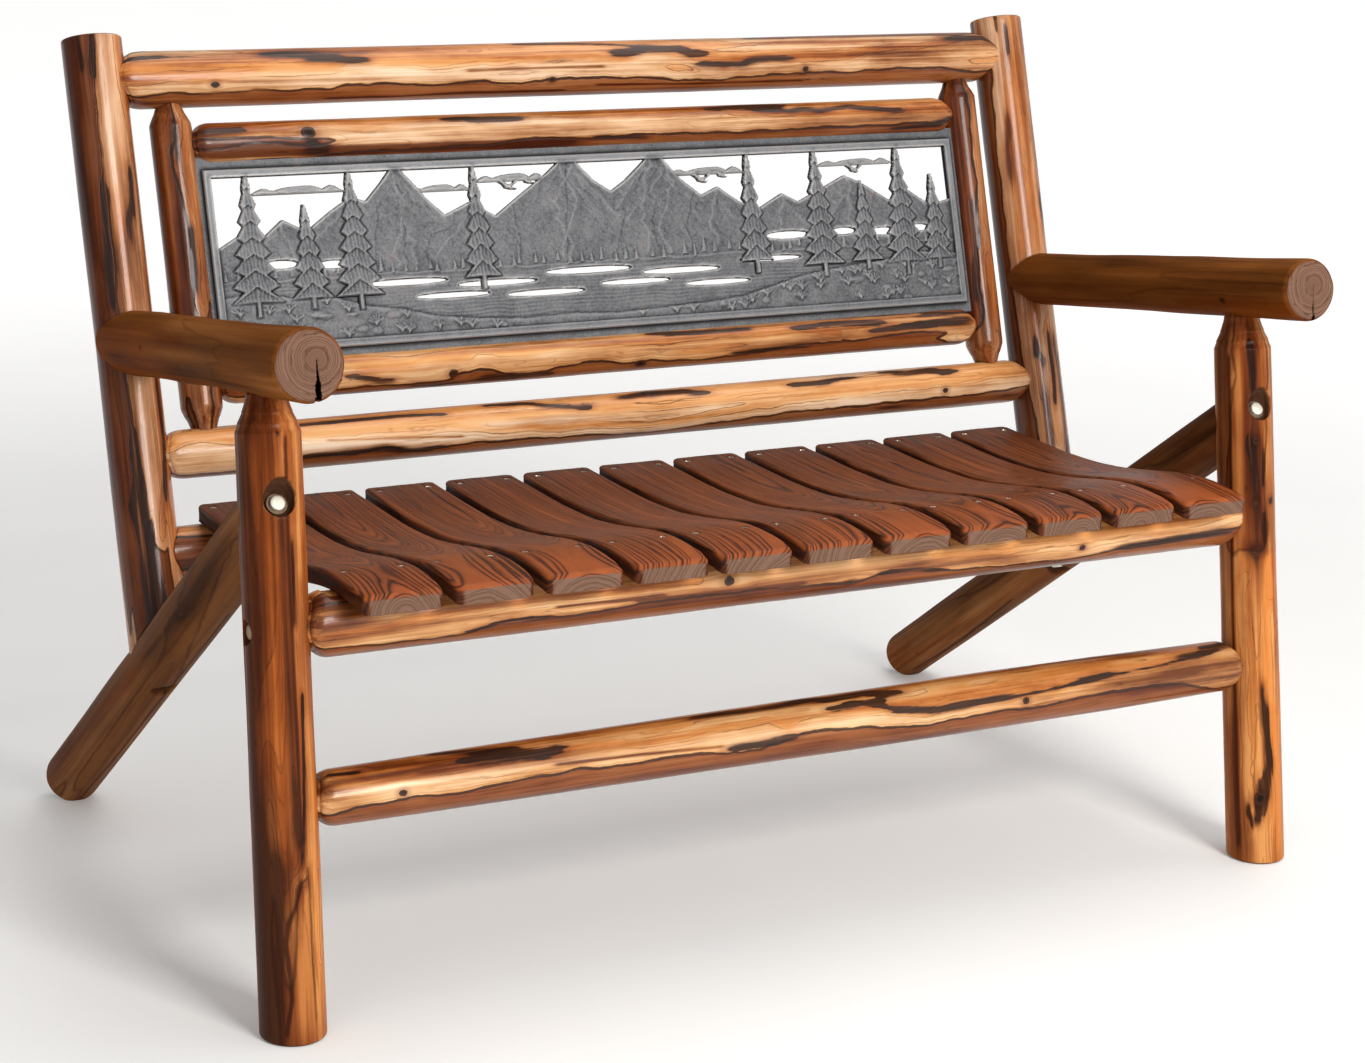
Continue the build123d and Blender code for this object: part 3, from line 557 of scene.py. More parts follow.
for s, side in SIDES:
    a, b = leg_at(s, 0), leg_at(s, 591.6)
    n = float(np.linalg.norm(b - a))
    add_log(
        f"front_leg_{side}",
        a,
        b + LEG_DIR[s] * 50,
        [
            (0, 33.1), (n * 0.3, 32.9), (n * 0.55, 32.2), (n * 0.8, 32.3), (n - 1, 32.0),
            (n, 31.8), (n + 1.2, 31.0), (n + 6, 29.3), (n + 8.4, 29.2), (n + 9.4, 28.4),
            (n + 17, 24.7), (n + 19.4, 24.5), (n + 20.6, 23.8), (n + 30, 20.7),
            (n + 36, 19.6), (n + 37, 17.6), (n + 50, 17.5),
        ],
        End("plane", at(0, 0, 0), UP, round_off=3.6),
        End("plane", b + LEG_DIR[s] * 50, LEG_DIR[s], round_off=1.0),
        11 if s < 0 else 12,
        turned=[n - 2, n, n + 1.2, n + 3, n + 6, n + 8.4, n + 9.4, n + 12, n + 17, n + 19.4, n + 20.6, n + 36, n + 37],
    )  # fmt: skip
    foot, top, r = BRACE[s]
    add_log(
        f"rear_leg_{side}",
        foot - BRACE_DIR[s] * 7,
        top,
        [(0, r), (250, r + 0.2), (420, r - 0.2), (650, r + 0.1), (900, r)],
        End("plane", foot - BRACE_DIR[s] * 7, BRACE_DIR[s], round_off=8.5),
        End("round", leg_at(s, 500), LEG_DIR[s], LEG_R + 0.2, 2.5),
        13 if s < 0 else 14,
    )
    r = POST_R[s]
    n = float(np.linalg.norm(post_at(s, 914) - POST_END[s]))
    add_log(
        f"back_post_{side}",
        POST_END[s],
        post_at(s, 914),
        [(0, r), (n * 0.25, r + 0.1), (n * 0.5, r - 0.4), (n * 0.75, r + 0.2), (n, r)],
        End("round", BRACE_HIT[s], BRACE_DIR[s], BRACE[s][2] + 0.3, 2.0),
        End("plane", post_at(s, 914), POST_DIR, round_off=3.0),
        15 if s < 0 else 16,
    )
    ra = ((0, 37.0), (0.28, 35.4), (0.5, 34.4), (0.75, 35.6), (1, 36.4))
    if s > 0:
        ra = ((0, 36.0), (0.28, 35.0), (0.5, 34.2), (0.75, 33.4), (1, 33.2))
    a, b = arm_at(s, -28.9), post_at(s, 598.0)
    n = float(np.linalg.norm(b - a))
    add_log(
        f"armrest_{side}",
        a,
        b,
        [(k * n, r) for k, r in ra],
        End("plane", a, ARM_DIR, round_off=8.0),
        End("round", post_at(s, 598.0), POST_DIR, POST_R[s], 11.0),
        17 if s < 0 else 18,
        nt=128,
        step=2.8,
    )


def rail(name, ends, z, radii, neighbours, normal, seed, round_off=4.0, **more):
    a, b = ends
    n = float(np.linalg.norm(b - a))
    add_log(
        name,
        a,
        b,
        [(k * n, r) for k, r in radii],
        End("round", a, normal[0], neighbours[0], round_off),
        End("round", b, normal[1], neighbours[1], round_off),
        seed,
        **more,
    )


LEGS_N, BACK_N = (LEG_DIR[-1], LEG_DIR[1]), (POST_DIR, POST_DIR)
rail("front_seat_rail", (leg_at(-1, 400.3), leg_at(1, 400.3)), 400.3,
     [(0, 33.2), (0.25, 33.6), (0.5, 33.0), (0.75, 32.6), (1, 32.6)], (LEG_R, LEG_R), LEGS_N, 21)
rail("front_stretcher", (leg_at(-1, 228.4), leg_at(1, 228.4)), 228.4,
     [(0, 28.0), (0.12, 29.3), (0.35, 30.6), (0.65, 31.8), (0.82, 31.0), (1, 28.6)], (LEG_R + 0.4, LEG_R + 0.4), LEGS_N, 22)
rail("rear_seat_rail", (post_at(-1, 374.6), post_at(1, 374.6)), 374.6,
     [(0, 28.2), (0.5, 28.0), (1, 28.2)], (POST_R[-1], POST_R[1]), BACK_N, 23)
rail("back_top_rail", (post_at(-1, 868.7), post_at(1, 868.7)), 868.7,
     [(0, 31.6), (0.25, 30.9), (0.5, 31.2), (0.75, 31.6), (1, 31.4)], (POST_R[-1], POST_R[1]), BACK_N, 24, 5.0)
rail("back_lower_rail", (post_at(-1, 475.6), post_at(1, 475.6)), 475.6,
     [(0, 27.2), (0.25, 27.5), (0.5, 27.0), (0.75, 26.8), (1, 26.8)], (POST_R[-1], POST_R[1]), BACK_N, 25, 5.0)
rail("inner_upper_rail", (back_at(STILE_X[-1], 799), back_at(STILE_X[1], 799)), 799,
     [(0, 23.4), (0.3, 23.4), (0.7, 22.8), (1, 22.8)], (23.2, 23.2), BACK_N, 26, 5.0, nt=96)
rail("inner_lower_rail", (back_at(STILE_X[-1], 546.1), back_at(STILE_X[1], 546.1)), 546.1,
     [(0, 23.0), (0.3, 23.0), (0.7, 22.8), (1, 22.7)], (23.2, 23.2), BACK_N, 27, 5.0, nt=96)
for s, side in SIDES:
    a, b = back_at(STILE_X[s], 475.6), back_at(STILE_X[s], 868.7)
    n = float(np.linalg.norm(b - a))
    lo = float(np.linalg.norm(back_at(0, 521.8) - back_at(0, 475.6)))
    hi = float(np.linalg.norm(back_at(0, 820.5) - back_at(0, 475.6)))
    add_log(
        f"inner_stile_{side}",
        a,
        b,
        [
            (0, 13.6), (27, 14.4), (lo - 12, 17.6), (lo - 11, 18.6), (lo - 3, 21.8), (lo, 23),
            (lo + 60, 23.3), (hi - 60, 22.8), (hi, 23), (hi + 3, 21.8), (hi + 10, 18.4),
            (hi + 11, 17.4), (n - 31, 14.4), (n, 13.6),
        ],
        End("round", a, X_DIR, 27.2, 1.0),
        End("round", b, X_DIR, 31.4, 1.0),
        28 if s < 0 else 29,
        turned=[lo - 12, lo - 11, lo - 3, lo, hi, hi + 3, hi + 10, hi + 11],
        nt=96,
    )  # fmt: skip


MARKS = {  # what shows on the side towards the viewer: kind, width or size, path of (s, degrees)
    "back_top_rail": [
        ("edge", 0, [(24, 49), (52, 42), (74, 36), (97, 40), (132, 38), (166, 36), (202, 39), (237, 40), (261, 38), (279, 32), (303, 33), (327, 29), (345, 33), (370, 36), (407, 35), (457, 33), (496, 39), (527, 34), (546, 30), (598, 28), (651, 34), (706, 42), (761, 45), (801, 39), (842, 35), (884, 34), (941, 34), (984, 32), (1013, 30), (1072, 32), (1126, 44)]),
        ("line", 0, [(286, -16), (309, -9), (345, -2), (382, 2), (419, 1), (457, -3), (495, -6), (527, -4), (566, -7)]),
        ("line", 0, [(653, -19), (705, -12), (731, 3), (761, 15), (788, 12), (810, 4), (841, 7), (869, 9), (911, 10), (940, 3), (969, -7), (999, -11), (1043, -14), (1081, -20), (1106, -32), (1125, -46)]),
        ("char", 2, [(34, -39), (57, -41)]),
        ("shade", 5, [(104, -53), (160, -41), (212, -41)]),
        ("char", 4, [(207, -45), (230, -40), (254, -27), (289, -21)]),
        ("char", 2.5, [(505, -60), (556, -57), (606, -50), (657, -42)]),
        ("char", 4, [(634, -25), (662, -32), (702, -30), (720, -18)]),
        ("char", 2.5, [(736, 9), (783, 13)]),
        ("char", 2.5, [(809, 2), (844, 1)]),
        ("char", 5, [(1108, -39), (1138, -41), (1157, -27)]),
        ("knot", 3.6, [(125, 22)]),
        ("knot", 3.6, [(876, 25)]),
        ("knot", 3.6, [(536, 33)]),
        ("seam", 1, [(264, 66), (350, 67), (435, 61), (551, 63)]),
        ("seam", 1, [(600, 48), (735, 54), (873, 54)]),
        ("seam", 1, [(431, 8), (520, 6), (598, 7)]),
    ],
    "front_stretcher": [
        ("edge", 0, [(28, 37), (53, 29), (64, 23), (85, 21), (111, 20), (143, 21), (175, 24), (208, 20), (236, 16), (252, 14), (280, 13), (303, 11), (331, 19), (365, 18), (400, 15), (423, 16), (447, 16), (483, 24), (519, 27), (542, 16), (567, 8), (604, 9), (666, 18), (717, 27), (769, 26), (821, 22), (874, 27), (901, 23), (942, 19), (983, 16), (1025, 16), (1068, 24), (1124, 54)]),
        ("line", 0, [(267, -28), (300, -21), (333, -18), (378, -12), (425, -11), (449, -17), (473, -21), (509, -20), (533, -22), (553, -5)]),
        ("line", 0, [(668, -15), (692, -6), (723, 3), (749, -5), (775, -7), (821, -4), (874, -2), (901, -2), (930, -17), (958, -21), (987, -26), (1028, -23), (1072, -27), (1102, -35), (1132, -59), (1154, -79)]),
        ("char", 2, [(46, -56), (65, -50)]),
        ("shade", 5, [(105, -62), (150, -47), (198, -41)]),
        ("char", 3.5, [(166, -73), (207, -61), (228, -54)]),
        ("char", 4, [(208, -39), (241, -36), (267, -30)]),
        ("char", 2.5, [(460, -66), (507, -63), (562, -64)]),
        ("char", 4.5, [(583, -72), (617, -62), (656, -64), (683, -55)]),
        ("char", 2.5, [(615, -33), (659, -33)]),
        ("char", 3.5, [(500, 16), (528, 13), (548, 10)]),
        ("char", 3, [(699, -10), (736, 0), (756, -3)]),
        ("char", 2.5, [(782, -7), (821, -6)]),
        ("char", 4.5, [(1096, -36), (1131, -55), (1155, -69)]),
        ("char", 2.5, [(937, -17), (965, -22)]),
        ("knot", 3.6, [(114, 7)]),
        ("knot", 3.6, [(854, 7)]),
        ("char", 1.3, [(640, -41), (669, -23), (711, -7), (745, -1), (788, -2), (832, -2)]),
        ("char", 0.8, [(832, -2), (881, -7), (935, -13), (993, -20), (1049, -25), (1096, -36), (1140, -52)]),
        ("shade", 4, [(30, -21), (38, 1), (53, 11)]),
        ("shade", 3, [(43, -40), (136, -28), (223, -28), (289, -26)]),
        ("seam", 1, [(286, -3), (377, 1), (470, 8)]),
        ("dim", 5, [(1096, -8), (1134, -4), (1157, 8)]),
        ("dim", 6, [(1010, 2), (1080, 10), (1146, 22)]),
    ],
    "front_seat_rail": [
        ("edge", 0, [(32, 47), (98, 53), (151, 57), (189, 55), (214, 39), (235, 34), (257, 33), (291, 41), (325, 38), (353, 36), (381, 32), (428, 34), (469, 34), (522, 33), (571, 38), (609, 42), (634, 43), (658, 37), (682, 29), (707, 30), (733, 36), (761, 47), (787, 46), (827, 51), (867, 53), (908, 56), (947, 51), (973, 44), (999, 37), (1040, 36), (1096, 31), (1138, 28)]),
        ("line", 0, [(59, 30), (90, 27), (116, 22), (159, 16), (202, 12), (246, 7), (290, 8), (335, 8), (392, 10), (450, 10)]),
        ("line", 0, [(683, -15), (733, -12), (797, -10), (850, -14), (904, -15), (957, -14)]),
        ("char", 2.2, [(193, 48), (224, 36), (269, 37)]),
        ("char", 2, [(676, 32), (714, 31), (740, 40)]),
        ("char", 3, [(999, 40), (1068, 35), (1124, 32)]),
        ("knot", 5, [(484, 10)]),
        ("knot", 3.6, [(634, 43)]),
        ("knot", 3.6, [(932, 28)]),
        # painted shadow of the seat boards' front edges across the rail
        ("dim", 1.6, [(47, -29), (148, 0), (246, 2), (358, -0), (451, -1), (546, -4), (644, -6), (745, -6), (849, -5), (943, -4), (1039, -4), (1144, -2)]),
        ("dim", 6, [(37, -44), (35, 7), (41, 30)]),
        ("dim", 3, [(43, 30), (137, 21), (224, 18)]),
        ("shade", 3, [(694, 21), (797, 29), (905, 43)]),
        ("light", 3, [(116, 3), (180, 12), (245, 15), (335, 17)]),
        # this and the next mark: painted shadow of the seat boards along the rail's top
        ("dim", 8, [(60, -38), (300, -36), (600, -37), (900, -36), (1140, -38)]),
        ("dim", 4, [(240, -10), (420, -14), (600, -16)]),
        ("seam", 1, [(381, 26), (474, 29), (571, 31)]),
        ("seam", 1, [(290, 19), (358, 21), (404, 21)]),
    ],
    "back_lower_rail": [
        ("line", 0, [(30, -8), (46, -20), (64, -24), (80, -18), (99, -7)]),
        ("edge", 0, [(32, 60), (63, 59), (100, 63), (177, 39), (201, 36), (236, 38), (263, 35), (284, 28), (303, 40), (328, 50), (359, 44), (396, 40), (421, 40), (459, 39), (498, 45), (537, 47), (577, 54), (630, 57), (683, 48), (736, 43), (791, 36), (860, 35), (932, 33), (1004, 32), (1049, 34), (1108, 30), (1137, 23)]),
        ("line", 0, [(177, -5), (224, -1), (272, 2), (320, 6), (357, 7), (394, 16), (432, 18), (457, 18), (496, 30), (535, 29), (574, 34), (615, 42), (667, 35), (707, 26), (762, 17), (817, 13), (888, 7), (960, 3), (1018, 4), (1047, 3), (1077, -2), (1108, -6), (1138, -6)]),
        ("char", 2, [(188, -47), (254, -48), (302, -46), (350, -41)]),
        ("char", 3.2, [(416, -61), (454, -58), (489, -40), (525, -27)]),
        ("char", 3, [(189, 33), (230, 33)]),
        ("char", 3, [(278, 32), (310, 45), (346, 44)]),
        ("char", 3.5, [(592, -49), (616, -56), (642, -53)]),
        ("char", 3.5, [(665, -50), (682, -42)]),
        ("char", 2.6, [(819, -40), (851, -40), (882, -49)]),
        ("char", 2.2, [(955, -64), (975, -47), (997, -50)]),
        ("char", 3, [(1016, -54), (1027, -38)]),
        ("char", 2.5, [(1082, -87), (1125, -78), (1153, -70)]),
        ("knot", 5, [(622, -54)]),
        ("knot", 3.6, [(1025, 13)]),
        ("light", 6, [(737, -24), (817, 0), (902, 9)]),
        ("light", 5, [(177, -5), (296, -1), (395, 4)]),
        ("seam", 1, [(212, 1), (296, 9), (370, 19)]),
    ],
    "inner_upper_rail": [
        ("edge", 0, [(205, 52), (238, 46), (287, 48), (349, 42), (411, 29), (463, 30), (515, 33), (581, 30), (648, 30), (703, 34), (759, 31), (829, 31), (901, 31), (959, 26)]),
        ("line", 0, [(576, -22), (623, -25), (673, -35)]),
        ("char", 3, [(343, -43), (364, -32), (393, -33)]),
        ("char", 3.5, [(678, -55), (711, -57), (753, -56)]),
        ("char", 2.2, [(741, -32), (775, -25), (791, -35)]),
        ("char", 3, [(817, -24), (855, -37), (889, -25), (923, -11)]),
        ("char", 3, [(932, 44), (975, 34), (1000, 17)]),
        ("char", 2.5, [(38, -28), (61, -26)]),
        ("knot", 6.5, [(151, -14)]),
        ("knot", 3.6, [(755, -35)]),
        ("char", 2, [(515, 33), (568, 38)]),
        ("shade", 6, [(18, 24), (70, 29), (123, 22)]),
        ("shade", 3, [(165, 45), (263, 57), (363, 54), (438, 48)]),
        ("shade", 4, [(25, -3), (70, 18), (106, 32)]),
        ("char", 3, [(157, 14), (162, 30), (161, 44)]),
        ("shade", 7, [(20, -17), (71, -7), (141, 2)]),
        ("shade", 3, [(189, 41), (286, 38), (386, 39), (463, 41)]),
    ],
    "inner_lower_rail": [
        ("edge", 0, [(172, 51), (200, 50), (231, 50), (262, 55), (293, 55)]),
        ("edge", 0, [(328, 21), (353, 36), (386, 51), (411, 45), (430, 32), (481, 26), (508, 41), (548, 36), (616, 51), (670, 44), (710, 31), (751, 22), (808, 23), (865, 20), (923, 14)]),
        ("line", 0, [(186, 13), (229, 6), (266, -7), (304, -9)]),
        ("line", 0, [(509, -17), (561, -8), (642, -15), (697, -12), (753, -18), (808, 7), (810, -24), (830, -11)]),
        ("char", 2.5, [(174, 13), (205, 31)]),
        ("char", 3, [(355, 55), (406, 56)]),
        ("char", 2.5, [(561, -53), (620, -46), (673, -42)]),
        ("char", 2.5, [(755, -32), (798, -38), (854, -31)]),
        ("char", 2.5, [(669, 33), (752, 26)]),
        ("char", 2.5, [(865, -2), (924, -8), (983, -14)]),
        ("knot", 5, [(294, 27)]),
        ("knot", 5.5, [(535, 44)]),
    ],
    "back_post_left": [
        ("edge", 0, [(171, -5), (197, 12), (227, 8), (260, 5), (303, 5), (390, 6), (433, 11), (465, 10), (509, 5), (552, 6), (595, 7), (628, 10), (665, 15)]),
        ("line", 0, [(384, 20), (432, 20), (465, 21), (508, 20)]),
        ("line", 0, [(129, 31), (171, 44), (204, 55), (247, 59), (296, 60)]),
        ("line", 0, [(425, -29), (490, -29), (544, -30), (598, -31), (653, -32)]),
        ("char", 4, [(473, 43), (497, 59), (519, 62)]),
        ("char", 5, [(169, -9), (197, 6), (228, 5)]),
        ("char", 5, [(87, 2), (114, 12), (141, 7)]),
        ("char", 7, [(47, 38), (64, 21), (87, 11)]),
        ("char", 3, [(182, 59), (236, 72), (290, 71)]),
        ("char", 3, [(651, -14), (671, -18)]),
        ("char", 3, [(647, 8), (666, 12)]),
        ("char", 5, [(401, -6), (455, -3), (498, 3)]),
        ("shade", 7, [(497, 46), (464, 39), (443, 32)]),
        ("shade", 6, [(652, -25), (545, -41), (394, -55), (232, -59)]),
    ],
    "back_post_right": [
        ("edge", 0, [(160, -17), (224, -32), (326, -39), (428, -38), (504, -38), (592, -30)]),
        ("line", 0, [(132, 23), (183, 20), (233, 27), (271, 23)]),
        ("char", 3, [(633, 15), (652, 14)]),
        ("soft", 3, [(482, -10), (504, -10), (533, -6)]),
        ("char", 3, [(189, 32), (220, 35), (258, 33)]),
        ("char", 3, [(386, 82), (430, 63)]),
        ("line", 0, [(576, 64), (602, 66), (637, 56)]),
        ("soft", 3, [(131, 56), (182, 59), (220, 57), (252, 52)]),
        ("soft", 3, [(145, 11), (183, 10)]),
        ("char", 3, [(236, 15), (245, 2)]),
    ],
    "front_leg_left": [
        ("line", 0, [(171, 32), (200, 36), (249, 43), (298, 45), (338, 43), (377, 38), (416, 37), (460, 39), (489, 36), (513, 30)]),
        ("line", 0, [(190, 41), (239, 48), (298, 52), (357, 46), (416, 45), (474, 44), (513, 40)]),
        ("line", 0, [(474, 46), (551, 50), (589, 51)]),
        ("char", 1.6, [(416, 41), (488, 43)]),
        ("char", 1.8, [(181, 36), (239, 46), (337, 51)]),
        ("knot", 1.7, [(597, 24)]),
        ("line", 0, [(76, 70), (156, 75)]),
        # painted shade down the leg's left side
        ("shade", 9, [(600, -27), (533, -33), (475, -34), (398, -38), (319, -42), (240, -42), (161, -46), (81, -50), (9, -57)]),
        ("seam", 1, [(590, 38), (513, 36), (436, 35), (358, 36), (279, 37), (201, 34)]),
        ("shade", 2, [(513, 25), (436, 24), (358, 25), (280, 26), (211, 28)]),
        # painted light down the leg's right side
        ("light", 4, [(588, 65), (511, 63), (433, 65), (355, 64), (276, 66), (197, 67), (117, 65), (37, 61)]),
        ("shade", 6, [(162, -31), (148, -22), (118, -21), (83, -24)]),
        ("dim", 6, [(101, -44), (62, -39), (22, -29)]),
        ("seam", 1, [(156, 31), (137, 22), (118, 7), (98, 1), (73, 6), (43, 8), (13, -2)]),
        ("shade", 2, [(151, 34), (159, 51), (138, 56)]),
        ("light", 4, [(122, 28), (82, 30), (32, 26)]),
        ("shade", 4, [(170, -37), (163, -12), (166, 14), (173, 32)]),
        ("shade", 4, [(78, 58), (37, 64), (7, 63)]),
        ("light", 6, [(136, 29), (91, 31), (42, 29)]),
        ("light", 4, [(160, 43), (140, 45), (110, 44)]),
    ],
    "front_leg_right": [
        ("edge", 0, [(372, 4), (389, -8), (412, -11), (438, -20), (461, -7), (493, -7), (539, -1), (567, 2), (601, -2)]),
        ("edge_back", 0, [(370, 26), (387, 38), (411, 31), (445, 30), (491, 38), (536, 45), (599, 50)]),
        ("char", 2.6, [(544, 5), (570, 8), (593, 5)]),
        ("char", 2, [(446, 9), (470, 6), (484, -4)]),
        ("char", 1.8, [(446, 25), (474, 26)]),
        ("char", 2.6, [(382, 26), (399, 27)]),
        ("char", 2.6, [(172, 15), (200, 12)]),
        ("char", 2.4, [(113, 22), (137, 18), (166, 17)]),
        ("char", 5, [(70, -2), (78, 9), (95, 18), (113, 22)]),
        ("knot", 6, [(75, 2)]),
        ("knot", 3.6, [(492, 13)]),
        ("knot", 3.6, [(420, 8)]),
        ("knot", 3.6, [(421, 47)]),
        ("line", 0, [(188, 39), (247, 37), (294, 38)]),
        # painted shade down the leg's left side
        ("dim", 8, [(22, -62), (189, -63), (353, -59), (516, -54), (596, -55)]),
        ("char", 1.8, [(49, -15), (58, -22)]),
        ("line", 0, [(72, -32), (191, -33), (331, -31)]),
        ("light", 3, [(562, -22), (493, -27), (424, -29), (354, -26)]),
        ("light", 3, [(352, 36), (259, 35), (164, 41)]),
        ("light", 3, [(308, -28), (191, -24), (97, -20)]),
        ("shade", 4, [(595, 16), (561, 12)]),
        ("shade", 6, [(481, 6), (446, 7), (412, 14), (377, 17)]),
        ("seam", 1, [(585, -41), (458, -42), (307, -46), (166, -45), (24, -45)]),
        ("light", 5, [(353, 20), (260, 25), (166, 29), (71, 32)]),
        ("light", 4, [(596, -23), (539, -21), (482, -24)]),
        ("shade", 1.6, [(368, -17), (364, 5), (368, 31)]),
    ],
    "inner_stile_left": [
        ("edge", 0, [(176, 27), (219, 29), (258, 38), (291, 19), (330, 8), (354, 23)]),
        ("line", 0, [(353, -8), (373, 9)]),
        ("line", 0, [(164, 39), (230, 55), (274, 43), (313, 20), (346, 41)]),
        ("shade", 8, [(177, -2), (232, -3), (287, -4)]),
        ("char", 2, [(330, 19), (351, 22)]),
        ("char", 2.6, [(186, 30), (236, 37)]),
        ("light", 4, [(320, -20), (255, -26), (167, -29)]),
    ],
    "inner_stile_right": [
        ("edge", 0, [(102, -2), (177, 13), (252, 27), (341, 31)]),
        ("char", 3, [(116, -17), (165, 0), (215, 5)]),
        ("shade", 5, [(316, 3), (360, 15)]),
        ("line", 0, [(76, 29), (151, 29)]),
        # painted highlight of the lacquer on the stile
        ("light", 4, [(328, 26), (253, 16), (165, 3)]),
    ],
    "armrest_left": [
        ("knot", 2.2, [(394, -12)]),
        # painted shade along the armrest's underside, and in the next mark painted light along its top
        ("shade", 6, [(470, -40), (286, -48), (115, -56)]),
        ("light", 5, [(301, 37), (152, 37), (12, 37)]),
    ],
    "armrest_right": [
        ("knot", 2.6, [(117, -38)]),
    ],
    "rear_leg_left": [
        ("edge", 0, [(9, 100), (402, 77), (801, -6)]),
        ("seam", 1, [(638, 72), (482, 71), (319, 69), (146, 66), (15, 58)]),
        ("shade", 4, [(787, -17), (647, -8), (489, -14)]),
    ],
    "rear_leg_right": [
        ("line", 0, [(25, 34), (187, 20), (428, -8)]),
        ("shade", 4, [(796, -34), (856, -23)]),
        ("seam", 1, [(315, 31), (159, 48), (36, 38)]),
    ],
}

AMOUNT = {"shade": (0.42, 2.1), "dim": (0.24, 2.1), "soft": (0.85, 1.5), "light": (-0.26, 2.1), "seam": (1.0, 1.25)}
for name, items in MARKS.items():
    log = LOGS[name]
    for kind, size, path in items:
        if kind == "knot":
            log.knots.append((*path[0], size, min(0.10 * size, 0.7), 0.8 if size > 3 else 0.0))
        elif kind == "char":
            log.strokes.append((path, 1.55 * size))
        elif kind in AMOUNT:
            amount, widen = AMOUNT[kind]
            log.shades.append((path, widen * size, amount))
        elif kind != "line":
            log.lines.append((kind, path))
    log.lines += [(kind, path) for kind, size, path in items if kind == "line"]
for s, side in SIDES:
    for name in ("back_post", "inner_stile", "rear_leg"):
        LOGS[f"{name}_{side}"].band = -1
    arm, brace = LOGS[f"armrest_{side}"], LOGS[f"rear_leg_{side}"]
    arm.limit, arm.calm, arm.rough, arm.swirl, arm.knuckle = -2.0, 0.35, 0.8, 0.4, 1.3
    arm.pith = V(7.0, 0, 6.0) if s < 0 else V(3.0, 0, 5.0)
    brace.limit, brace.calm, brace.swirl = -1.1, 0.7, 0.4
LOGS["front_leg_left"].tone = 0.0
LOGS["front_leg_left"].swirl = LOGS["front_leg_right"].swirl = 0.35
LOGS["front_leg_left"].limit = -0.95
LOGS["front_leg_right"].tone = 0.10
LOGS["front_leg_right"].limit = -0.95
LOGS["back_post_left"].tone = 0.02
LOGS["inner_stile_right"].tone = 0.08
LOGS["inner_stile_left"].tone = 0.03
LOGS["inner_lower_rail"].tone = 0.05
LOGS["back_post_right"].tone = 0.05
LOGS["front_leg_left"].lift, LOGS["front_leg_right"].lift = 0.5, 0.6
LOGS["front_leg_right"].fade = 16.0
LOGS["back_lower_rail"].tone = 0.07
LOGS["inner_upper_rail"].tone = -0.10
LOGS["front_seat_rail"].flat = (427.9, 542.5)
LOGS["rear_seat_rail"].flat = (402.6, 545.0)
LOGS["front_seat_rail"].limit = -0.95
LOGS["front_seat_rail"].nose, LOGS["front_stretcher"].nose, LOGS["back_top_rail"].nose = 9.0, 8.0, 3.5
LOGS["inner_upper_rail"].nose = LOGS["inner_lower_rail"].nose = 6.5
LOGS["back_lower_rail"].nose = 3.5
LOGS["inner_lower_rail"].limit = -0.55
# the drying cracks in the armrests' ends: half the width at each distance below the pith
arm = LOGS["armrest_left"]
CRACK = [(0.0, 0.15), (6.0, 0.5), (14.0, 0.9), (21.0, 1.4), (22.5, 2.8), (29.0, 2.6), (50.0, 3.3)]
arm.crack = (arm.a + V(7.0, 0, 6.0), X_DIR, unit(np.cross(arm.d, X_DIR)), CRACK)
arm = LOGS["armrest_right"]
arm.crack = (arm.a + V(3.0, 0, 5.0), X_DIR, unit(np.cross(arm.d, X_DIR)), [(y, 0.6 * w) for y, w in CRACK])


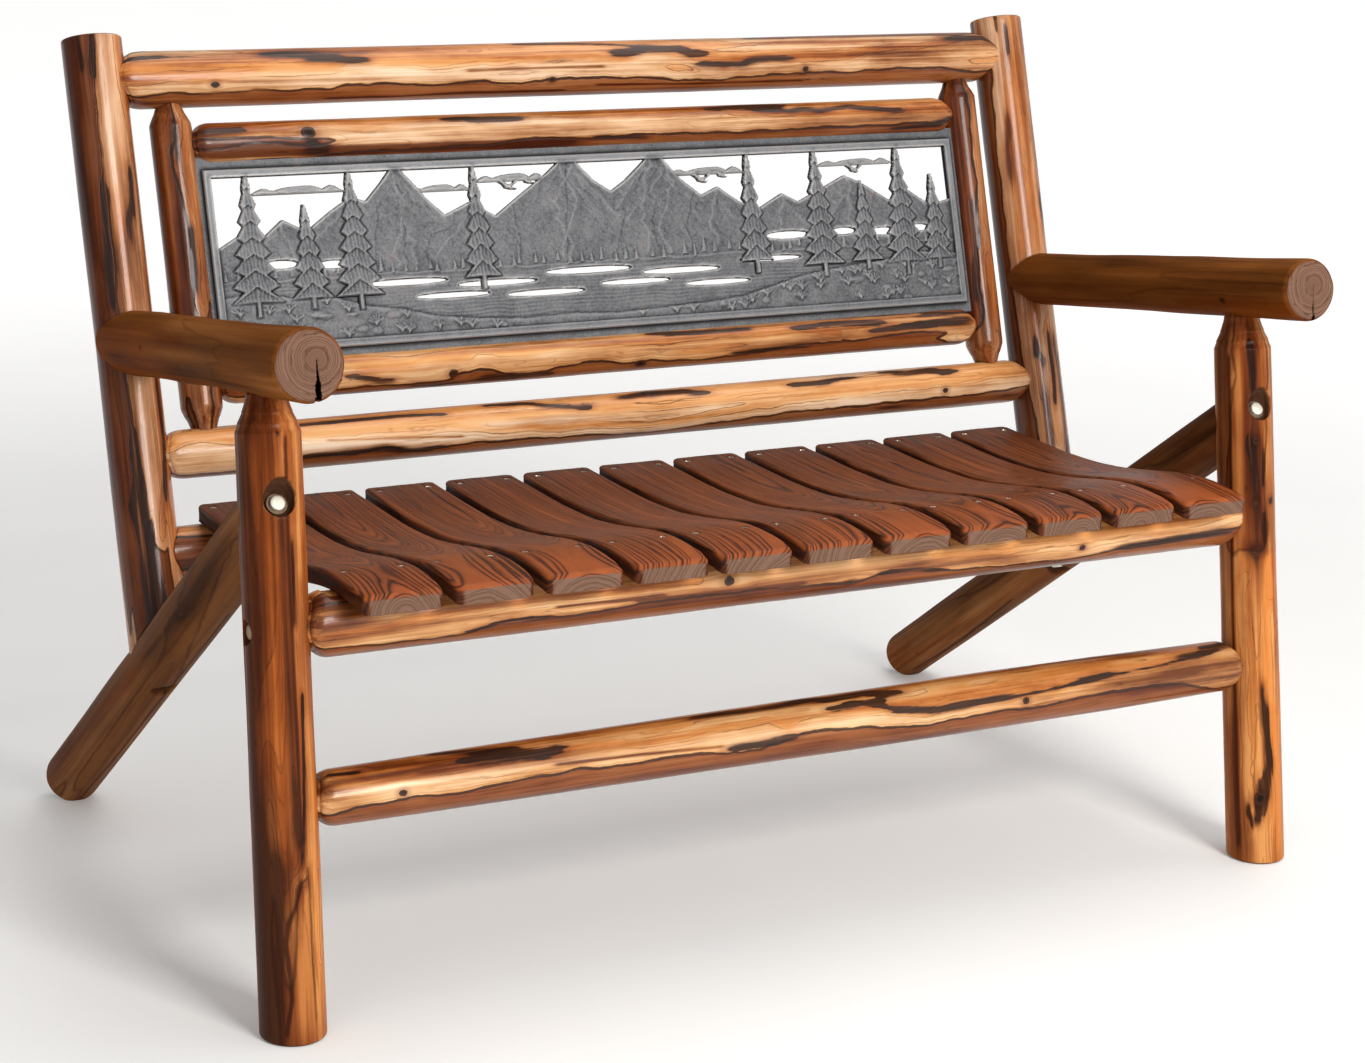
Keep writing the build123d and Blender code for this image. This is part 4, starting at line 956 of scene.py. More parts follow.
# ------------------------------------------------------------------ materials
class Shader:
    """A small builder for node trees."""

    def __init__(self, name):
        self.mat = bpy.data.materials.new(name)
        self.mat.use_nodes = True
        self.tree = self.mat.node_tree
        self.tree.nodes.clear()
        self.out = self.new("ShaderNodeOutputMaterial")
        self.bsdf = self.new("ShaderNodeBsdfPrincipled")
        self.link(self.bsdf.outputs[0], self.out.inputs[0])

    def new(self, kind):
        return self.tree.nodes.new(kind)

    def link(self, a, b):
        self.tree.links.new(a, b)

    def put(self, socket, value):
        if hasattr(value, "is_output"):
            self.link(value, socket)
        elif isinstance(value, (tuple, list)) and len(value) == 3 and socket.type == "RGBA":
            socket.default_value = (*value, 1)
        else:
            socket.default_value = value

    def attr(self, name):
        n = self.new("ShaderNodeAttribute")
        n.attribute_name = name
        return n.outputs["Vector"]

    def split(self, v):
        n = self.new("ShaderNodeSeparateXYZ")
        self.put(n.inputs[0], v)
        return n.outputs[0], n.outputs[1], n.outputs[2]

    def join(self, x, y, z):
        n = self.new("ShaderNodeCombineXYZ")
        for i, v in enumerate((x, y, z)):
            self.put(n.inputs[i], v)
        return n.outputs[0]

    def scale(self, v, k):
        n = self.new("ShaderNodeVectorMath")
        n.operation = "MULTIPLY"
        self.put(n.inputs[0], v)
        self.put(n.inputs[1], tuple(k))
        return n.outputs[0]

    def m(self, op, a, b=0.0, c=0.0, clamp=False):
        n = self.new("ShaderNodeMath")
        n.operation = op
        n.use_clamp = clamp
        self.put(n.inputs[0], a)
        self.put(n.inputs[1], b)
        if op in ("MULTIPLY_ADD", "SMOOTH_MIN", "SMOOTH_MAX", "WRAP"):
            self.put(n.inputs[2], c)
        return n.outputs[0]

    def add(self, *terms):
        out = terms[0]
        for t in terms[1:]:
            out = self.m("ADD", out, t)
        return out

    def mul(self, a, b, clamp=False):
        return self.m("MULTIPLY", a, b, clamp=clamp)

    def step(self, x, a, b, lo=0.0, hi=1.0):
        n = self.new("ShaderNodeMapRange")
        n.interpolation_type = "SMOOTHSTEP"
        self.put(n.inputs["Value"], x)
        n.inputs["From Min"].default_value = a
        n.inputs["From Max"].default_value = b
        n.inputs["To Min"].default_value = lo
        n.inputs["To Max"].default_value = hi
        return n.outputs[0]

    def noise(self, v, scale=1.0, detail=2.0, rough=0.5, distort=0.0):
        n = self.new("ShaderNodeTexNoise")
        self.put(n.inputs["Vector"], v)
        n.inputs["Scale"].default_value = scale
        n.inputs["Detail"].default_value = detail
        n.inputs["Roughness"].default_value = rough
        n.inputs["Distortion"].default_value = distort
        return n.outputs[0]

    def voronoi(self, v, scale, feature="F1"):
        n = self.new("ShaderNodeTexVoronoi")
        n.feature = feature
        self.put(n.inputs["Vector"], v)
        n.inputs["Scale"].default_value = scale
        return n.outputs["Distance"]

    def ramp(self, x, stops, mode="LINEAR"):
        n = self.new("ShaderNodeValToRGB")
        r = n.color_ramp
        r.interpolation = mode
        while len(r.elements) < len(stops):
            r.elements.new(0.5)
        for e, (p, c) in zip(r.elements, stops):
            e.position = p
            e.color = (*c, 1) if len(c) == 3 else c
        self.put(n.inputs[0], x)
        return n.outputs[0]

    def mix(self, f, a, b, mode="MIX"):
        n = self.new("ShaderNodeMix")
        n.data_type = "RGBA"
        n.blend_type = mode
        self.put(n.inputs[0], f)
        self.put(n.inputs[6], a)
        self.put(n.inputs[7], b)
        return n.outputs[2]

    def bump(self, height, strength, distance, normal=None):
        n = self.new("ShaderNodeBump")
        n.inputs["Strength"].default_value = strength
        n.inputs["Distance"].default_value = distance
        self.put(n.inputs["Height"], height)
        if normal is not None:
            self.put(n.inputs["Normal"], normal)
        return n.outputs[0]


def log_material(name, tones, char, line, rough, coat, spec, under=0.88, lines=1.0, sat=(0.42, 0.235, 0.15), end=None, pale=0.7, hairs=1.0, vary=1.0):
    """Lacquered peeled log: fibres, tone drift, layer contours (partly painted shade below the first, partly a painted
    sheen above it), charred islands, knots, end grain, and painted shade deep in cut wood and inside end cracks.
    """
    s = Shader(name)
    grain, marks, spots = s.attr("grain"), s.attr("marks"), s.attr("spots")
    chard, layer, tone = s.split(marks)
    knot, deep, slope = s.split(spots)
    fibre = s.noise(s.scale(grain, (9, 560, 560)), 1.0, 4.0, 0.62)
    streak = s.noise(s.scale(grain, (2.6, 170, 170)), 1.0, 3.0, 0.6)
    mottle = s.noise(s.scale(grain, (13, 42, 42)), 1.0, 3.0, 0.55)
    jag = s.noise(s.scale(grain, (38, 240, 240)), 1.0, 3.0, 0.6)
    jag2 = s.noise(s.scale(grain, (150, 460, 460)), 1.0, 2.0, 0.6)
    speck = s.noise(s.scale(grain, (260, 900, 900)), 1.0, 2.0, 0.5)
    t = s.add(
        tone,
        s.mul(s.m("SUBTRACT", streak, 0.5), 0.95 * vary),
        s.mul(s.m("SUBTRACT", fibre, 0.5), 0.42 * vary),
        s.mul(s.m("SUBTRACT", mottle, 0.5), 0.65 * vary),
    )
    # each layer between two contours has a tone of its own
    wav = s.add(s.mul(s.m("SUBTRACT", jag, 0.5), 2.2), s.mul(s.m("SUBTRACT", jag2, 0.5), 0.9))
    u = s.mul(s.add(layer, s.mul(wav, slope)), 2.0)
    band = s.m("FLOOR", u)
    t = s.add(t, s.mul(s.m("SINE", s.mul(band, 9.7)), 0.085))
    base = s.ramp(t, tones)
    low = s.m("DIVIDE", s.mul(u, 0.5), slope)
    # below the first contour (on the rails, their lower side) the colour darkens and reddens by the under weight and
    # the sat tint: partly the wood's inner layer, partly painted shade
    below = s.step(low, 0.45, -0.45)
    base = s.mix(s.mul(below, under), base, s.mix(1.0, base, sat, "MULTIPLY"))
    # upper layers run to orange
    high = s.m("DIVIDE", s.m("SUBTRACT", s.mul(u, 0.5), 0.5), slope)
    base = s.mix(s.mul(s.step(high, -6.0, 10.0), 0.72), base, s.mix(1.0, base, (0.88, 0.60, 0.34), "MULTIPLY"))
    # the layer band just above the first contour pales towards pink-cream by the pale weight: partly the wood's lighter
    # layer, partly a painted sheen of the lacquer's highlight
    mild = s.mul(s.step(low, 0.0, 5.0), s.step(high, 3.0, -6.0))
    base = s.mix(s.mul(mild, pale), base, s.mix(1.0, base, (1.0, 1.18, 1.62), "MULTIPLY"))
    # contour lines: the first is strong and unbroken, the others thin and broken
    seen = s.noise(s.scale(grain, (7, 46, 46)), 1.0, 2.0)
    thick = s.add(0.42, s.mul(s.noise(s.scale(grain, (19, 60, 60)), 1.0, 2.0), 2.0))
    strong = s.step(s.m("SUBTRACT", s.m("ABSOLUTE", low), thick), 0.35, -0.35)
    near = s.m("SUBTRACT", u, s.m("ROUND", u))
    thin = s.step(s.m("DIVIDE", s.m("ABSOLUTE", s.mul(near, 0.5)), slope), 0.72, 0.24)
    thin = s.mul(thin, s.step(seen, 0.47, 0.60))
    v = s.add(s.mul(u, 3.0), s.mul(s.m("SUBTRACT", s.noise(s.scale(grain, (4, 60, 60)), 1.0, 2.0), 0.5), 2.2))
    lamella = s.m("DIVIDE", s.m("ABSOLUTE", s.m("SUBTRACT", v, s.m("ROUND", v))), s.mul(slope, 6.0))
    bunch = s.step(s.noise(s.scale(grain, (5.5, 36, 36)), 1.0, 2.0), 0.46, 0.60)
    hair = s.mul(s.step(lamella, 0.85, 0.05), bunch)
    base = s.mix(s.mul(hair, 0.42 * hairs), base, s.mix(1.0, base, (0.30, 0.17, 0.11), "MULTIPLY"))
    edge = s.mul(s.step(low, -3.6, -0.3), s.step(low, 0.3, -0.2))
    base = s.mix(s.mul(edge, 0.45 * lines), base, s.mix(1.0, base, (0.45, 0.30, 0.22), "MULTIPLY"))
    base = s.mix(s.mul(thin, 0.62 * lines), base, line)
    base = s.mix(s.mul(strong, s.mul(s.step(seen, 0.26, 0.42), 0.92 * lines)), base, line)
    # charred islands: blackest along their edge, red-brown about them
    flame = s.noise(s.scale(grain, (7.5, 190, 190)), 1.0, 3.0, 0.62)
    cd = s.add(chard, s.mul(s.m("SUBTRACT", jag, 0.5), 3.4), s.mul(s.m("SUBTRACT", flame, 0.5), 9.0), s.mul(s.m("SUBTRACT", jag2, 0.5), 1.4))
    soft = s.add(0.7, s.mul(s.step(seen, 0.42, 0.66), 3.0))
    burnt = s.step(s.m("DIVIDE", cd, soft), 1.0, -1.0)
    halo = s.step(cd, 10.0, 0.0)
    base = s.mix(s.mul(halo, 0.50), base, s.mix(1.0, base, (0.55, 0.33, 0.21), "MULTIPLY"))
    inner = s.add(0.30, s.mul(s.m("SUBTRACT", flame, 0.5), 2.6), s.mul(s.m("SUBTRACT", fibre, 0.5), 1.6))
    base = s.mix(s.mul(burnt, 0.95), base, s.ramp(inner, char))
    # knots: dark ring, lighter swirl, black heart
    kr = s.add(knot, s.mul(s.m("SUBTRACT", jag, 0.5), 0.95), s.mul(s.m("SUBTRACT", flame, 0.5), 0.8))
    rings = s.m("SINE", s.mul(kr, 21.0))
    kcol = s.ramp(
        s.add(s.mul(kr, 0.62), s.mul(rings, 0.045), s.mul(s.m("SUBTRACT", jag2, 0.5), 0.25)),
        [(0.0, (0.008, 0.004, 0.003)), (0.22, (0.018, 0.008, 0.005)), (0.34, (0.045, 0.017, 0.008)),
         (0.48, (0.075, 0.028, 0.011)), (0.58, (0.026, 0.010, 0.006)), (0.68, (0.075, 0.028, 0.011))],
    )  # fmt: skip
    base = s.mix(s.step(kr, 1.12, 0.92), base, kcol)
    base = s.mix(s.mul(s.step(kr, 2.6, 1.0), 0.5), base, s.mix(1.0, base, (0.45, 0.28, 0.2), "MULTIPLY"))
    # small dark pores and scuffs
    base = s.mix(s.mul(s.step(speck, 0.72, 0.80), 0.45), base, line)
    # cut wood: end faces, planed flats and drilled pockets
    gs, g1, g2 = s.split(grain)
    ln = s.new("ShaderNodeVectorMath")
    ln.operation = "LENGTH"
    s.put(ln.inputs[0], s.join(g1, g2, 0.0))
    wob = s.noise(s.scale(grain, (2, 70, 70)), 1.0, 3.0)
    dist = s.mul(ln.outputs["Value"], 1000.0)
    uneven = s.noise(s.join(s.mul(dist, 0.16), 3.0, 0.0), 1.0, 2.0)
    ringd = s.add(s.mul(dist, 0.26), s.mul(s.m("POWER", s.mul(dist, 0.027), 2.0), 1.6), s.mul(wob, 1.3), s.mul(uneven, 4.0))
    wave = s.m("FRACT", ringd)
    ray = s.noise(s.scale(grain, (60, 700, 700)), 1.0, 2.0)
    ray2 = s.noise(s.scale(grain, (10, 110, 110)), 1.0, 3.0)
    e = end or [tuple(0.30 * c for c in tones[2][1]), tuple(0.62 * c + 0.03 for c in tones[2][1]), tuple(0.16 * c for c in tones[2][1])]
    endcol = s.ramp(
        s.add(wave, s.mul(s.m("SUBTRACT", ray, 0.5), 0.30), s.mul(s.m("SUBTRACT", ray2, 0.5), 0.45)),
        [(0.0, e[0]), (0.22, e[1]), (0.62, e[1]), (0.86, e[0]), (0.95, e[2]), (1.0, e[2])],
    )
    endcol = s.mix(s.mul(s.step(dist, 9.0, 1.0), 0.5), endcol, e[0])
    # cut wood darkens with its depth below the round, deep in the bolt pockets and the coped ends: painted shade
    endcol = s.mix(s.mul(s.step(s.m("SUBTRACT", deep, 0.0), 8.0, 26.0), 0.35), endcol, e[0])
    base = s.mix(s.mul(s.step(deep, 0.9, 2.2), 0.5), base, s.mix(1.0, base, (0.55, 0.42, 0.34), "MULTIPLY"))
    cutm = s.step(deep, 1.6, 4.2)
    base = s.mix(cutm, base, endcol)
    # near-black at the knots' hearts, and on the walls of the armrests' end cracks as painted shade
    base = s.mix(s.step(knot, 0.30, 0.12), base, (0.008, 0.004, 0.003))
    s.put(s.bsdf.inputs["Base Color"], base)
    r = s.add(rough, s.mul(s.m("SUBTRACT", mottle, 0.5), 0.26), s.mul(burnt, 0.16), s.mul(cutm, 0.22), s.mul(below, 0.04))
    s.put(s.bsdf.inputs["Roughness"], r)
    s.bsdf.inputs["Coat Weight"].default_value = coat
    s.bsdf.inputs["Coat Roughness"].default_value = 0.14
    s.bsdf.inputs["Coat IOR"].default_value = 1.38
    s.bsdf.inputs["Specular IOR Level"].default_value = spec
    fine = s.add(
        s.mul(fibre, 0.50),
        s.mul(streak, 0.8),
        s.mul(jag, 0.30),
        s.mul(burnt, -0.9),
        s.mul(strong, -0.9),
        s.mul(thin, -0.35),
        s.mul(s.mul(rings, s.step(kr, 1.3, 0.9)), 0.25),
        s.mul(s.mul(wave, cutm), 0.5),
    )
    s.put(s.bsdf.inputs["Normal"], s.bump(fine, 0.5, 0.0006))
    return s.mat


HONEY = [(0.05, (0.13, 0.034, 0.009)), (0.30, (0.33, 0.114, 0.028)), (0.55, (0.56, 0.252, 0.078)), (0.90, (0.76, 0.45, 0.200))]
PALE = [(0.05, (0.13, 0.034, 0.009)), (0.30, (0.36, 0.128, 0.034)), (0.55, (0.62, 0.315, 0.122)), (0.90, (0.80, 0.52, 0.280))]
POST = [(0.05, (0.10, 0.029, 0.010)), (0.30, (0.25, 0.086, 0.026)), (0.55, (0.44, 0.190, 0.072)), (0.90, (0.63, 0.35, 0.180))]
LEG = [(0.05, (0.060, 0.018, 0.006)), (0.30, (0.150, 0.043, 0.0115)), (0.58, (0.31, 0.098, 0.025)), (0.92, (0.62, 0.27, 0.080))]
ARM = [(0.05, (0.063, 0.0193, 0.0036)), (0.35, (0.138, 0.0432, 0.0078)), (0.62, (0.198, 0.0645, 0.0123)), (0.92, (0.285, 0.102, 0.026))]
BRACE = [(0.05, (0.055, 0.0195, 0.0060)), (0.35, (0.128, 0.046, 0.0140)), (0.62, (0.205, 0.079, 0.025)), (0.92, (0.33, 0.142, 0.052))]
INNER = [(0.05, (0.055, 0.015, 0.005)), (0.30, (0.145, 0.040, 0.0105)), (0.58, (0.32, 0.112, 0.033)), (0.92, (0.58, 0.27, 0.105))]
CHAR = [(0.0, (0.013, 0.0045, 0.0022)), (0.38, (0.024, 0.0078, 0.0036)), (0.66, (0.070, 0.021, 0.0080)), (0.94, (0.19, 0.060, 0.020))]
EDGE_LINE = (0.036, 0.0115, 0.005)
ARM_END = [(0.125, 0.066, 0.043), (0.185, 0.104, 0.071), (0.090, 0.045, 0.029)]
LEG_END = [(0.060, 0.025, 0.012), (0.085, 0.037, 0.018), (0.045, 0.018, 0.009)]
# DEEP: the sat tint below the first contour on honey and pale logs, partly painted shade on their lower side
DEEP = (0.36, 0.19, 0.115)
MAT = {
    "honey": log_material("lacquered_honey_log", HONEY, CHAR, EDGE_LINE, 0.29, 0.30, 0.20, 0.9, 1.0, DEEP),
    "pale": log_material("lacquered_pale_log", PALE, CHAR, EDGE_LINE, 0.29, 0.30, 0.20, 0.9, 1.0, DEEP, None, 1.0),
    "post": log_material("lacquered_post_log", POST, CHAR, EDGE_LINE, 0.27, 0.34, 0.14, 0.92, 0.9, (0.25, 0.118, 0.060)),
    "leg": log_material("lacquered_leg_log", LEG, CHAR, EDGE_LINE, 0.34, 0.08, 0.05, 0.7, 0.55, (0.60, 0.42, 0.33), LEG_END, 0.1, 0.8, 0.72),
    "arm": log_material("oiled_armrest_log", ARM, CHAR, (0.03, 0.010, 0.004), 0.56, 0.0, 0.015, 0.15, 0.2, (0.8, 0.7, 0.6), ARM_END, 0.0, 0.35, 0.62),
    "brace": log_material("dull_brown_log", BRACE, CHAR, (0.02, 0.008, 0.005), 0.50, 0.0, 0.02, 0.3, 0.35, (0.6, 0.5, 0.4), LEG_END, 0.0, 0.5, 0.6),
    "inner": log_material("dark_stile_log", INNER, CHAR, (0.022, 0.009, 0.005), 0.27, 0.30, 0.16, 0.8, 1.0, (0.45, 0.26, 0.16), None, 0.4),
}
LOOK = {
    "front_leg": ("leg", "leg_log"),
    "rear_leg": ("brace", "dark_log"),
    "armrest": ("arm", "dark_log"),
    "inner_stile": ("inner", "inner_log"),
    "inner_upper": ("pale", "inner_log"),
    "inner": ("honey", "inner_log"),
    "back_post": ("post", "honey_log"),
    "back_": ("pale", "honey_log"),
    "rear_seat": ("inner", "honey_log"),
}


def tool(point, axis, radius, flare=None):
    """A round cutter for a bolt's pocket, with a coned floor."""
    rim = flare or 200.0
    v, q, t = lathe(
        point,
        axis,
        [(-2.2, 0.0), (-2.0, 7.0), (0.0, radius), (rim, radius + 0.4), (rim + 6, radius + 1.8), (rim + 16, radius + 3.6), (rim + 60, radius + 3.6), (rim + 60, 0.0)],
        64,
    )
    return make_mesh("tool", v, q, t)


def crack_tool(face, side, down, profile, log, seed=71):
    """A thin wedge that narrows as it goes into the log."""
    ys = np.linspace(0, profile[-1][0], 40)
    half = np.interp(ys, [c[0] for c in profile], [c[1] for c in profile])
    mid = 0.5 * noise(ys / 9.0, ys * 0, ys * 0, seed) + 0.25 * noise(ys / 2.6, ys * 0, ys * 0, seed + 1)
    mid -= mid[0]
    outline = np.concatenate([np.stack([mid - half, ys], 1), np.stack([mid + half, ys], 1)[::-1]])
    n = len(outline)
    rows = []
    for z, k in ((-6.0, 1.0), (4.0, 1.0), (22.0, 0.62), (44.0, 0.12)):
        x = np.concatenate([mid, mid[::-1]])
        o = np.stack([x + (outline[:, 0] - x) * k, outline[:, 1]], 1)
        rows.append(face + o[:, :1] * side + o[:, 1:] * down + z * log.d)
    v = np.concatenate(rows)
    j = np.arange(n)
    q = [np.stack([i * n + j, i * n + (j + 1) % n, (i + 1) * n + (j + 1) % n, (i + 1) * n + j], 1) for i in range(3)]
    m = n // 2
    i = np.arange(m - 1)
    caps = []
    for base, flip in ((0, True), (3 * n, False)):
        c = np.stack([base + i, base + i + 1, base + n - 2 - i, base + n - 1 - i], 1)
        caps.append(c[:, ::-1] if flip else c)
    mesh = make_mesh("crack_tool", v, np.concatenate(q + caps))
    bm = bmesh.new()
    bm.from_mesh(mesh)
    bmesh.ops.recalc_face_normals(bm, faces=bm.faces)
    bm.to_mesh(mesh)
    bm.free()
    return mesh


CUTTERS = {f"armrest_{side}": [crack_tool(*LOGS[f"armrest_{side}"].crack, LOGS[f"armrest_{side}"], 74 + 3 * s)] for s, side in SIDES}
for s, side in SIDES:
    CUTTERS[f"front_leg_{side}"] = [tool(BRACE_HEAD[s], BRACE_DIR[s], 15.4, 8.0), tool(RAIL_HEAD[s], X_DIR * s, 12.0, 7.0)]
    CUTTERS[f"rear_leg_{side}"] = [tool(POST_HEAD[s], -POST_DIR, 15.0)]
    CUTTERS[f"back_post_{side}"] = [tool(ARM_HEAD[s], ARM_DIR, 12.0)]

for name, log in LOGS.items():
    mesh = log.mesh(CUTTERS.get(name, ()))
    look, slot = next((v for k, v in LOOK.items() if name.startswith(k)), ("honey", "honey_log"))
    add_object(f"{name}_log", mesh, [name], slot, MAT[look])

# ------------------------------------------------------------------ seat boards
SLAT_COUNT, SLAT_PITCH, SLAT_W, SLAT_T = 11, 97.86, 85.0, 19.0
SLAT_Y0, SLAT_Y1 = -17.0, 464.0
SLAT_TOP = np.array([
    (-17.0, 443.4), (8.0, 446.3), (42.0, 448.3), (70.0, 447.6), (105.0, 443.8), (145.0, 436.9),
    (190.0, 429.3), (240.0, 423.2), (290.0, 420.4), (340.0, 419.9), (400.0, 421.4), (464.0, 423.2),
])  # fmt: skip
SCREW_Y, SCREW_X = (66.0, 446.0), SLAT_W / 2 - 13.0


def natural_spline(xy):
    """Cubic spline through points, as a function of x."""
    x, y = xy[:, 0], xy[:, 1]
    h = np.diff(x)
    n = len(x)
    a = np.zeros((n, n))
    r = np.zeros(n)
    a[0, 0] = a[-1, -1] = 1
    for i in range(1, n - 1):
        a[i, i - 1], a[i, i], a[i, i + 1] = h[i - 1], 2 * (h[i - 1] + h[i]), h[i]
        r[i] = 6 * ((y[i + 1] - y[i]) / h[i] - (y[i] - y[i - 1]) / h[i - 1])
    m = np.linalg.solve(a, r)

    def f(t):
        i = np.clip(np.searchsorted(x, t) - 1, 0, n - 2)
        d, u = t - x[i], x[i + 1] - t
        return (
            m[i] * u**3 / (6 * h[i])
            + m[i + 1] * d**3 / (6 * h[i])
            + (y[i] / h[i] - m[i] * h[i] / 6) * u
            + (y[i + 1] / h[i] - m[i + 1] * h[i] / 6) * d
        )

    return f


seat_z = natural_spline(SLAT_TOP)


def spaced(total, edge, step):
    """Stations from 0 to total, close together at both ends."""
    mid = np.linspace(edge[-1], total - edge[-1], max(int((total - 2 * edge[-1]) / step), 2) + 1)
    return np.concatenate([edge[:-1], mid, total - np.array(edge[:-1])[::-1]])


EDGE = [0.0, 0.22, 0.6, 1.15, 1.9, 2.8, 3.8, 5.2, 7.0, 8.8]


def slat_mesh(index):
    k = 400 + 13 * index
    rng = np.random.RandomState(900 + index)
    ys = SLAT_Y0 + spaced(SLAT_Y1 - SLAT_Y0, EDGE, 2.3)
    g = spaced(2.0, [e / (SLAT_W / 2) for e in EDGE], 1.9 / (SLAT_W / 2)) - 1
    Y, G = np.meshgrid(ys, g, indexing="ij")
    half = np.full(Y.shape, SLAT_W / 2)
    rf, rb = 9.0 + rng.uniform(-1, 2), 7.5 + rng.uniform(-1, 2)
    f, b = np.clip(Y - SLAT_Y0, 0, rf), np.clip(SLAT_Y1 - Y, 0, rb)
    half = half - (rf - np.sqrt(rf**2 - (rf - f) ** 2)) - (rb - np.sqrt(rb**2 - (rb - b) ** 2))
    X = G * half
    rc = np.where(Y < 200, rf, rb)
    mid = (SLAT_Y0 + SLAT_Y1) / 2
    qx = np.abs(X) - (SLAT_W / 2 - rc)
    qy = np.abs(Y - mid) - ((SLAT_Y1 - SLAT_Y0) / 2 - rc)
    edge = -(np.hypot(np.maximum(qx, 0), np.maximum(qy, 0)) + np.minimum(np.maximum(qx, qy), 0) - rc)
    edge = np.maximum(edge, 0)
    zt = seat_z(Y)
    slope = (seat_z(Y + 1) - seat_z(Y - 1)) / 2
    zb = zt - SLAT_T * np.sqrt(1 + slope**2)
    er = 3.9 + 0.7 * fbm(X / 30 + 9, Y / 45, Y * 0, k, 2) + 3.6 * smooth(-Y, -8, 15)
    er = np.clip(er, 2.6, 8.0)
    top = zt - (er - np.sqrt(np.maximum(er**2 - np.maximum(er - edge, 0) ** 2, 0)))
    bot = zb + (1.4 - np.sqrt(np.maximum(1.4**2 - np.maximum(1.4 - edge, 0) ** 2, 0)))
    # slow unevenness and a screw's sink at each corner
    top = top - 0.30 * (0.6 + fbm(X / 42, Y / 120, Y * 0, k + 3, 2)) * smooth(edge, 0, 6)
    for sy in SCREW_Y:
        for sx in (-SCREW_X, SCREW_X):
            d = np.hypot(X - sx, Y - sy)
            top = top - 1.5 * smooth(d, 5.0, 3.2)
    # growth rings in space: their middle line lies under the board, a little tilted
    px, pz = rng.uniform(-16, 16), -rng.uniform(24, 52)
    tilt, turn = rng.uniform(-0.035, 0.06), rng.uniform(-0.03, 0.03)
    if rng.rand() < 0.25:
        px = rng.choice([-1, 1]) * rng.uniform(40, 60)

    def rings(x, y, z):
        w = 2.2 * fbm(x / 60, y / 150, z / 40, k + 7, 3) + 0.5 * noise(x / 9, y / 60, z / 9, k + 11)
        return np.hypot((x - px - turn * (y - 200)), (z - 448 - pz - tilt * (y - 200))) + w

    rho = rings(X, Y, top)
    late = smooth(np.abs((rho / 3.6) % 1 - 0.72), 0.24, 0.05)
    top = top + 0.20 * (late - 0.5) * smooth(edge, 0.2, 2.0)
    ny, nx = Y.shape
    P_top = np.stack([X, Y, top], -1).reshape(-1, 3)
    P_bot = np.stack([X, Y, bot], -1).reshape(-1, 3)
    idx = np.arange(ny * nx).reshape(ny, nx)
    quads = [np.stack([idx[:-1, :-1], idx[:-1, 1:], idx[1:, 1:], idx[1:, :-1]], -1).reshape(-1, 4)]
    base = ny * nx
    quads.append(np.stack([idx[:-1, :-1], idx[1:, :-1], idx[1:, 1:], idx[:-1, 1:]], -1).reshape(-1, 4) + base)
    loop = np.concatenate([idx[0, :], idx[1:, -1], idx[-1, :-1][::-1], idx[1:-1, 0][::-1]])
    verts = [P_top, P_bot]
    count = 2 * base
    levels = 8
    prev = loop
    for i in range(1, levels):
        f = i / levels
        ring = P_top[loop] * (1 - f) + P_bot[loop] * f
        out = np.stack([ring[:, 0], ring[:, 1] - mid, np.zeros(len(ring))], 1)
        out[:, 0] = np.sign(ring[:, 0]) * (np.abs(ring[:, 0]) > SLAT_W / 2 - 6)
        out[:, 1] = np.sign(ring[:, 1] - mid) * (np.abs(ring[:, 1] - mid) > (SLAT_Y1 - SLAT_Y0) / 2 - 6)
        nn = np.maximum(np.hypot(out[:, 0], out[:, 1]), 1)[:, None]
        r = rings(ring[:, 0], ring[:, 1], ring[:, 2])
        lt = smooth(np.abs((r / 3.6) % 1 - 0.72), 0.24, 0.05)
        ring = ring - out / nn * (0.22 * (1 - lt) + 0.25)[:, None]
        verts.append(ring)
        cur = count + np.arange(len(loop))
        quads.append(np.stack([prev, cur, np.roll(cur, -1), np.roll(prev, -1)], 1))
        prev = cur
        count += len(loop)
    low = loop + base
    quads.append(np.stack([prev, low, np.roll(low, -1), np.roll(prev, -1)], 1))
    local = np.concatenate(verts)
    quads = np.concatenate(quads)
    x0 = (index - (SLAT_COUNT - 1) / 2) * SLAT_PITCH
    world = local + V(x0 + CX, CY, 0)
    mesh = make_mesh(f"seat_slat_{index + 1:02d}", world, quads[:, ::-1])
    co = coords(mesh)
    loc = co - V(x0 + CX, CY, 0)
    rho = rings(loc[:, 0], loc[:, 1], loc[:, 2])
    qx = np.abs(loc[:, 0]) - (SLAT_W / 2 - 8)
    qy = np.abs(loc[:, 1] - mid) - ((SLAT_Y1 - SLAT_Y0) / 2 - 8)
    e = -(np.hypot(np.maximum(qx, 0), np.maximum(qy, 0)) + np.minimum(np.maximum(qx, qy), 0) - 8)
    drop = seat_z(loc[:, 1]) - loc[:, 2]
    endness = smooth(np.abs(loc[:, 1] - mid), (SLAT_Y1 - SLAT_Y0) / 2 - 1.6, (SLAT_Y1 - SLAT_Y0) / 2 - 0.4) * smooth(drop, 2.2, 4.5)
    screw = np.full(len(loc), 50.0)
    for sy in SCREW_Y:
        for sx in (-SCREW_X, SCREW_X):
            screw = np.minimum(screw, np.hypot(loc[:, 0] - sx, loc[:, 1] - sy))
    vec_attr(mesh, "wood", (loc + V(0, index * 911.0, index * 57.0)) * 0.001)
    vec_attr(mesh, "ringv", np.stack([rho, e, endness], 1))
    vec_attr(mesh, "use", np.stack([drop, loc[:, 1], screw], 1))
    return mesh


